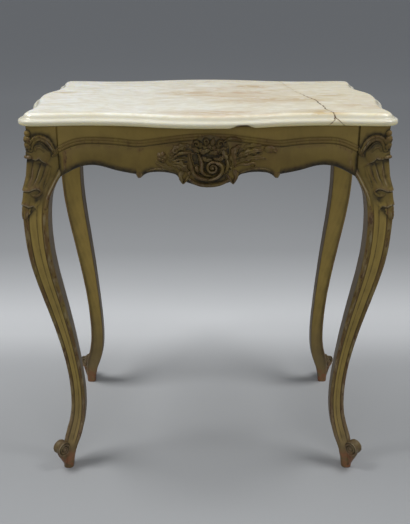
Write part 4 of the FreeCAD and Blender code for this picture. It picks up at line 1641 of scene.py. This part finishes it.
@dataclass
class BeadMoulding(SubAssembly):
    """The two half-round strands that follow a rail's face."""

    radius: float = 3.2
    drops: Point = (-2.4, 2.4)
    sides: int = 16
    wear: float = 0.3

    def tree(self) -> NodeRun:
        """Builds the tree that sweeps a round bead along a path.

        Returns:
            The tree.
        """
        run = NodeRun("bead_moulding", {"Bead Radius": self.radius * MM})
        curve = run.out("GeometryNodeMeshToCurve", {"Mesh": run.entry["Geometry"]})
        ring = run.out("GeometryNodeCurvePrimitiveCircle", {
            "Resolution": self.sides, "Radius": run.entry["Bead Radius"]})
        swept = run.out("GeometryNodeCurveToMesh", {"Curve": curve, "Profile Curve": ring, "Fill Caps": True})
        run.close(run.out("GeometryNodeSetShadeSmooth", {"Geometry": swept}))
        return run

    def build(self, rail: SerpentineRail, run: NodeRun, material: Material) -> Object:
        """Lays both strands on a rail.

        Args:
            rail: the rail.
            run: the bead tree.
            material: the rail's finish.

        Returns:
            The moulding.
        """
        strands = [rail.bead_path(drop) for drop in self.drops]
        count = len(strands[0])
        edges = [(first + strand * count, first + 1 + strand * count)
                 for strand in range(len(strands)) for first in range(count - 1)]
        mesh = bpy.data.meshes.new(rail.node + "_bead")
        mesh.from_pydata(np.concatenate(strands).tolist(), edges, [])
        piece = run.run(rail.node + "_bead", mesh, material)
        done = piece.data
        worn = done.attributes.new("wear", "FLOAT", "POINT")
        worn.data.foreach_set("value", np.full(len(done.vertices), self.wear, np.float32))
        return piece


@dataclass
class CornerScrews(SubAssembly):
    """Countersunk wood screws through the corner blocks."""

    slot = Slot.STEEL
    head_radius: float = 4.0
    head_depth: float = 2.6
    shank_radius: float = 2.0
    length: float = 38.0
    slot_width: float = 1.1
    slot_depth: float = 1.2
    slot_length: float = 20.0
    head_sides: int = 28
    shank_sides: int = 20
    slant: float = 73.8
    heights: Point = (665.0, 695.0)
    corner: Point = KNEE

    def build(self, material: Material) -> Object:
        """Sets one screw on each point, heads towards the middle of the table.

        Args:
            material: the screws' finish.

        Returns:
            The screws as one piece.
        """
        run = NodeRun("corner_screws", {
            "Head Radius": self.head_radius * MM, "Head Depth": self.head_depth * MM,
            "Shank Radius": self.shank_radius * MM, "Length": self.length * MM,
            "Slot Width": self.slot_width * MM, "Slot Depth": self.slot_depth * MM})
        sizes = run.entry

        def times(size: str, factor: float) -> NodeSocket:
            """A size of the screw times a factor."""
            return run.out("ShaderNodeMath", {0: sizes[size], 1: factor}, operation="MULTIPLY")

        def moved(part: NodeSocket, size: str, factor: float) -> NodeSocket:
            """A part of the screw moved along its axis by a size times a factor."""
            way = run.out("ShaderNodeCombineXYZ", {"Z": times(size, factor)})
            return run.out("GeometryNodeTransform", {"Geometry": part, "Translation": way})

        head = moved(run.out("GeometryNodeMeshCone", {
            "Vertices": self.head_sides, "Radius Top": sizes["Head Radius"], "Radius Bottom": sizes["Shank Radius"],
            "Depth": sizes["Head Depth"]}), "Head Depth", -1.0)
        blade = run.out("GeometryNodeMeshCube", {"Size": run.out("ShaderNodeCombineXYZ", {
            "X": self.slot_length * MM, "Y": sizes["Slot Width"], "Z": times("Slot Depth", 2.0)})})
        slotted = run.out("GeometryNodeMeshBoolean", {0: head, 1: blade}, operation="DIFFERENCE")
        shank = moved(run.out("GeometryNodeMeshCylinder", {
            "Vertices": self.shank_sides, "Radius": sizes["Shank Radius"], "Depth": sizes["Length"]}), "Length", -0.5)
        screw = run.out("GeometryNodeJoinGeometry", {"Geometry": [slotted, shank]})
        normal = run.out("GeometryNodeInputNormal", {})
        facing = run.out("FunctionNodeAlignRotationToVector", {"Vector": normal}, axis="Z")
        run.close(run.out("GeometryNodeInstanceOnPoints", {
            "Points": sizes["Geometry"], "Instance": screw, "Rotation": facing}))
        return run.run("wood_screws", self.seats(), material)

    def seats(self) -> Mesh:
        """One small face in each screw's seat, turned the way that the head faces.

        Returns:
            The faces as one mesh.
        """
        places, faces = [], []
        rise = Vector((0, 0, 1))
        for sign_x, sign_y, height in product((-1, 1), (-1, 1), self.heights):
            across, deep = (place - self.slant for place in self.corner)
            middle = Vector((sign_x * across, sign_y * deep, height)) * MM
            beside = rise.cross(Vector((-sign_x, -sign_y, 0)).normalized())
            faces.append(tuple(range(len(places), len(places) + 3)))
            places += [tuple(middle + 1e-5 * (beside * a + rise * b)) for a, b in ((1, 0), (-0.5, 0.87), (-0.5, -0.87))]
        mesh = bpy.data.meshes.new("screw_seats")
        mesh.from_pydata(places, [], faces)
        return mesh


@dataclass
class Studio:
    """Floor, soft square lamps by place, size and watts, and the camera."""

    image: tuple[int, int] = (410, 524)
    focal_pixels: float = 760.0
    tilt: float = 21.486
    yaw: float = -0.002
    eye: Place = (-0.008, -1.505, 0.98129)
    floor_reach: float = 60.0
    sensor: float = 36.0
    aim: Place = (0.0, 0.0, 0.45)
    lamps: tuple[tuple[str, Place, float, float], ...] = (
        ("left", (-1.2, -0.2, 2.2), 0.8, 27.0), ("right", (1.15, -0.2, 2.2), 0.8, 20.5),
        ("front", (0.2, -2.6, 1.6), 2.4, 16.0))
    sky: Colour = (214, 218, 224)
    sky_strength: float = 0.25

    def build(self) -> None:
        """Builds the stage."""
        mesh = bpy.data.meshes.new("floor")
        reach = self.floor_reach
        mesh.from_pydata([(-reach, -reach, 0), (reach, -reach, 0), (reach, reach, 0), (-reach, reach, 0)], [],
                         [(0, 1, 2, 3)])
        mesh.materials.append(PaleFloor().make())
        placed("floor", mesh)
        for name, place, size, power in self.lamps:
            light = bpy.data.lights.new(name, "AREA")
            light.size, light.energy = size, power
            holder = placed(name, light)
            holder.location = place
            holder.rotation_euler = (Vector(self.aim) - Vector(place)).to_track_quat("-Z", "Y").to_euler()
        world = bpy.data.worlds.new("studio")
        world.use_nodes = True
        shade = world.node_tree.nodes["Background"].inputs
        shade["Color"].default_value, shade["Strength"].default_value = linear(self.sky), self.sky_strength
        bpy.context.scene.world = world
        bpy.context.scene.view_settings.view_transform = "Standard"
        self.camera()

    def camera(self) -> None:
        """Adds the camera at the photograph's angle."""
        lens = bpy.data.cameras.new("camera")
        lens.sensor_width = self.sensor
        lens.lens = self.focal_pixels / max(self.image) * self.sensor
        holder = placed("camera", lens)
        holder.location = self.eye
        holder.rotation_euler = (math.radians(90.0 - self.tilt), 0.0, self.yaw)
        bpy.context.scene.camera = holder


def rails() -> dict[Side, SerpentineRail]:
    """The four rails by side, the short ones with the long ones' curves drawn in.

    Returns:
        The rails.
    """
    runs: tuple[tuple[Point, ...], ...] = (
        ((-38, 622.3), (-30, 619.6), (-17, 615.8), (0, 613.8), (17, 615.8), (30, 619.6), (38, 622.3)),
        ((38, 622.3), (44.5, 618.6)),
        ((44.5, 618.6), (48, 623.5), (53, 632), (61, 636.8), (72, 638.6), (85, 639), (98, 637.8),
         (108, 635.2), (114, 631.5), (119, 626.8)),
        ((119, 626.8), (124, 626)),
        ((124, 626), (127.6, 633)),
        ((127.6, 633), (141, 635), (154, 637.3), (166, 640), (178, 643.6), (192, 647.3), (206, 648.7),
         (222, 647), (236, 642.3), (250, 635.2), (261.4, 629)))
    moulding: tuple[Point, ...] = (
        (28, 702.6), (69, 697.2), (106, 690.6), (124, 688.4), (142, 689.6), (170, 692.2), (200, 693.4),
        (221, 692.8), (239, 688.8), (261.4, 679))
    long_half, short_half = 261.4, 146.4
    drawn = short_half / long_half
    drawn_runs = tuple(tuple((place * drawn, level) for place, level in run) for run in runs)
    drawn_moulding = tuple((place * drawn, level) for place, level in moulding)
    made = {}
    for side in Side:
        name = f"{side.name.lower()}_rail"
        if side in LONG_SIDES:
            made[side] = SerpentineRail(name, side, long_half, face=201.0, bow=20.0, hollow=185.1, runs=runs,
                                        moulding=moulding, seams=(0.4, 1.0) if side is Side.FRONT else (0.7, 0.7))
        else:
            made[side] = SerpentineRail(name, side, short_half, face=316.0, bow=8.0, hollow=100.0,
                                        runs=drawn_runs, moulding=drawn_moulding, columns=260)
    return made


def fan(centre: Point, run: float, width: float, base: float, first: float, count: int) -> list[Leaf]:
    """A fan of small leaves.

    Args:
        centre: where the leaves spring from.
        run: length of a leaf.
        width: half its width.
        base: height of its edge.
        first: angle of the first leaf above the horizontal, in degrees.
        count: number of leaves.

    Returns:
        The leaves from right to left.
    """
    leaves = []
    for turn in np.radians(np.linspace(first, 180.0 - first, count)):
        cos, sin = run * math.cos(turn), run * math.sin(turn)
        steps = ((0.35, 0.35, 0.0), (0.72, 0.7, 0.0), (1.0, 1.0, 1.5))
        path = tuple((centre[0] + across * cos, centre[1] + up * sin - fall) for across, up, fall in steps)
        leaves.append(Leaf(path, width, rise=4.6, base=base, lobes=2, groove=1.3))
    return leaves


def front_forms() -> tuple[Form, ...]:
    """The ornament of the long rails: a volute in fluted scrolls between a flower and a spray of leaves.

    Returns:
        The forms in the order of carving.
    """
    ground = (
        Dome((4, 660), (44, 46), 5, groove=0),
        Leaf(((-24, 667), (-44, 668), (-62, 666), (-78, 661)), 22, 4.2, 0.4, 3),
        Leaf(((34, 663), (54, 668), (76, 672), (102, 675)), 16, 4.2, 0.4, 4),
    )
    left = (
        Flower((-80, 667), 10.5, 6, 5, 2),
        Leaf(((-94, 660), (-80, 653), (-67, 649), (-55, 648)), 6.5, 4.5, 1, 3),
        Leaf(((-66, 672), (-54, 682), (-43, 688), (-30, 690)), 8, 6, 2, 4),
        Roll(spiral((-56, 679.5), 5.5, 1.2, 90, 1), 2, 4.5, 3.5),
        Roll(((-60, 668), (-47, 675.5), (-36, 676.5), (-24, 675)), 3.4, 6, 3, groove=1.8),
        Roll(((-62, 660), (-50, 664), (-38, 665)), 2.8, 4.5, 2.5, groove=1.6),
        Leaf(((-62, 655), (-50, 655), (-40, 649), (-31, 639)), 9, 6.5, 2, 4),
        Leaf(((-41, 646), (-48, 636), (-47, 627), (-44.5, 618.5)), 5.6, 5.5, 2, 2),
        Roll(((-31, 640), (-36, 631), (-43.5, 620)), 2.4, 4.5, 2.5),
        Dome((-32.5, 640.5), (3.4, 4.2), 5, -30, 5.5),
        Roll(((-57, 640), (-66, 644), (-80, 646), (-94, 644.5), (-108, 640)), 1.8, 2.2, 0.6),
    )
    right = (
        Leaf(((47, 652), (43, 667), (45, 682), (59, 690.5)), 7, 8, 3, 4, 1.8),
        Leaf(((60, 685), (78, 688), (96, 687)), 4.4, 4, 1, 3),
        Leaf(((51, 670), (70, 677), (84, 679), (99, 678.5)), 6.2, 7, 2.5, 4, 1.6),
        Dome((107, 679.5), (11, 7), 5, -8, 1.2),
        Dome((117, 676), (4.5, 3), 5, -25, 2),
        Leaf(((52, 661), (72, 666), (90, 666), (106, 661)), 6, 5, 2, 4, 1.4),
        Roll(((45, 650), (58, 656), (69.5, 655.5), (77, 657.5), (83, 653.5), (79, 648), (74, 651)),
             2.8, 5.5, 2.5, groove=1.8),
        Roll(spiral((37.5, 648), 5, 1.3, 200, -1), 1.9, 5, 5),
        Roll(((51, 637), (61, 641.5), (75, 645.5), (89, 646), (103.5, 643.6), (112, 640)), 2, 2.8, 0.6),
        Leaf(((42, 646), (49, 637), (48, 628), (44.5, 618.5)), 5.6, 5.5, 2, 2),
        Roll(((31, 640), (37, 631), (43.5, 620)), 2.4, 4.5, 2.5),
        Roll(((31, 668), (34, 658), (32, 648), (26, 640)), 3.2, 6, 5.5, groove=1.8),
        Dome((31, 670), (3.8, 5), 5.5, 10, 6),
        *(Dome((121.5 * hand, 634), (6, 8), 2.2, base=0.6, groove=0.3) for hand in (-1, 1)),
    )
    crown = (Dome((2, 682), (34, 26), 6, groove=0),
             *fan((2, 670), 35, 6.4, 3, 28, 6), *fan((2, 670), 24, 5.6, 5.4, 40, 5)) + (
        Roll(spiral((-20, 692), 6, 1.2, 200, -1), 1.9, 3.4, 6),
        Roll(spiral((21, 693), 6, 1.2, -20, 1), 1.9, 3.4, 6),
        Roll(spiral((-4, 697), 5, 1.1, -60, 1), 1.7, 3, 7),
        Leaf(((-12, 676), (-4, 681), (5, 682)), 4.6, 4, 8, 2, 1.4),
        Leaf(((16, 675), (9, 678), (0, 675)), 4.6, 4, 7.6, 2, 1.4),
        Leaf(((-12, 669.5), (-3, 665), (9, 665)), 4.6, 4, 7, 2, 1.2),
        Leaf(((26, 671), (19, 665.5), (8, 668)), 4.4, 4, 7, 2, 1.2),
        Leaf(((26, 682), (27, 673), (22, 664)), 4.4, 4, 6, 2, 1.2),
        Roll(((27, 695.5), (36, 701), (47, 701.5), (58, 696.5)), 2.4, 5, 2.6),
    )
    scrolls = (
        Roll(((-34, 631), (-27, 625.5), (-20, 621.5), (-11, 619.3), (2, 618.5), (14, 619.3),
              (26, 622.3), (35, 628)), 3.8, 4.5, 3.5, (0.6, 0.6), groove=1.8),
        Roll(((-33, 674), (-31, 662), (-28, 650), (-25, 641.5), (-16, 633.5), (-5, 630.5),
              (6, 630.5), (14, 633.5)), 4, 7, 5, (0.5, 0.8), groove=2.2),
        Dome((-19, 648.5), (4.4, 6.5), 5, 15, 7, 1.6),
        Roll(((-16, 674), (-12.6, 664), (-10.9, 655), (-11.4, 647), (-5, 639.5), (3.6, 637)), 3.5, 7,
             6.5, (0.5, 0.6), groove=2.2),
        Roll(((15, 659.5), (21.5, 656), (24.5, 648.5), (21.5, 640), (13.5, 633.3), (3, 630)), 3.5, 8, 7.5,
             (1, 0.7), groove=2.6),
        Roll(spiral((8, 651), 10.5, 1.7, 70, 1), 2.6, 6, 8, (0.9, 0.6), groove=2.4),
        Dome((8, 651), (3, 3), 4, 0, 10),
    )
    return ground + left + right + crown + scrolls


def side_forms() -> tuple[Form, ...]:
    """The smaller ornament of the short rails.

    Returns:
        The forms in the order of carving.
    """
    wings: list[Form] = []
    for hand in (-1, 1):
        wings += [
            Leaf(((14 * hand, 668), (28 * hand, 675), (42 * hand, 676), (57 * hand, 671)), 8, 5.5, 2.6, 4, 1.6),
            Leaf(((14 * hand, 659), (27 * hand, 664), (40 * hand, 664), (52 * hand, 658)), 6.4, 5, 2.6, 4, 1.5),
            Leaf(((15 * hand, 649), (26 * hand, 652), (38 * hand, 650)), 5.4, 4.5, 2.2, 3, 1.4),
            Leaf(((16 * hand, 646), (22 * hand, 634), (26 * hand, 618)), 6, 5, 1.5, 3),
            Roll(spiral((16 * hand, 688), 5, 1.2, 90 - 110 * hand, hand), 1.7, 3.4, 5.2),
        ]
    return (
        Dome((0, 655), (26, 36), 4, groove=0), Dome((0, 680), (25, 20), 4.8, groove=0),
        *fan((0, 669), 31, 5.8, 2.6, 30, 6), *fan((0, 669), 20, 5, 4.8, 42, 4), *wings,
        Roll(((-20, 682), (-19, 664), (-14, 644), (0, 633), (14, 637), (20, 646)), 3.4, 5.5,
             4, (0.5, 0.5), 1, 1.8),
        Roll(spiral((2, 654), 14, 1.9, 110, -1), 3.2, 6, 4.8, (0.75, 0.5), 0, 2),
        Dome((2, 654), (2.8, 2.8), 3.5, 0, 6),
        Roll(((-26, 620), (0, 617), (26, 620)), 2.8, 4, 2.5, (0.7, 0.7), 0, 1.4),
    )


def main() -> None:
    """Builds and dresses every piece in order."""
    logging.basicConfig(level=logging.INFO, format="%(name)s %(message)s")
    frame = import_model()
    gilt, onyx = OliveGilt().make(), PolishedOnyx().make()
    wood, steel = BareWood().make(), DullSteel().make()
    Studio().build()
    slab = OnyxSlab()
    slab.dress(slab.build(), onyx, "onyx_top")
    for place, mirror, seam in CORNERS:
        leg = CabrioleLeg(f"leg_{place}", mirror, seam)
        leg.dress(leg.build(), gilt, leg.node)
    moulding = BeadMoulding()
    bead_tree = moulding.tree()
    for side, rail in rails().items():
        rail.dress(rail.build(), gilt, rail.node)
        moulding.dress(moulding.build(rail, bead_tree, gilt), gilt)
        name = f"{side.name.lower()}_cartouche"
        if side in LONG_SIDES:
            carving = Cartouche(name, rail, reach=(-130.0, 130.0), crest=709.0, forms=front_forms(), columns=300)
        else:
            carving = Cartouche(name, rail, reach=(-72.0, 72.0), crest=704.0, forms=side_forms(), columns=180)
        carving.dress(carving.build(), gilt, carving.node)
    screws = CornerScrews()
    screws.dress(screws.build(steel), steel, "corner_screws")
    for node, piece in frame["nodes"].items():
        if node.startswith("corner_block") or node in ("joint_dowels", "stone_bearer"):
            piece.data.materials.clear()
            piece.data.materials.append(wood)
            log.info("%s: bare wood", node)


if __name__ == "__main__":
    main()
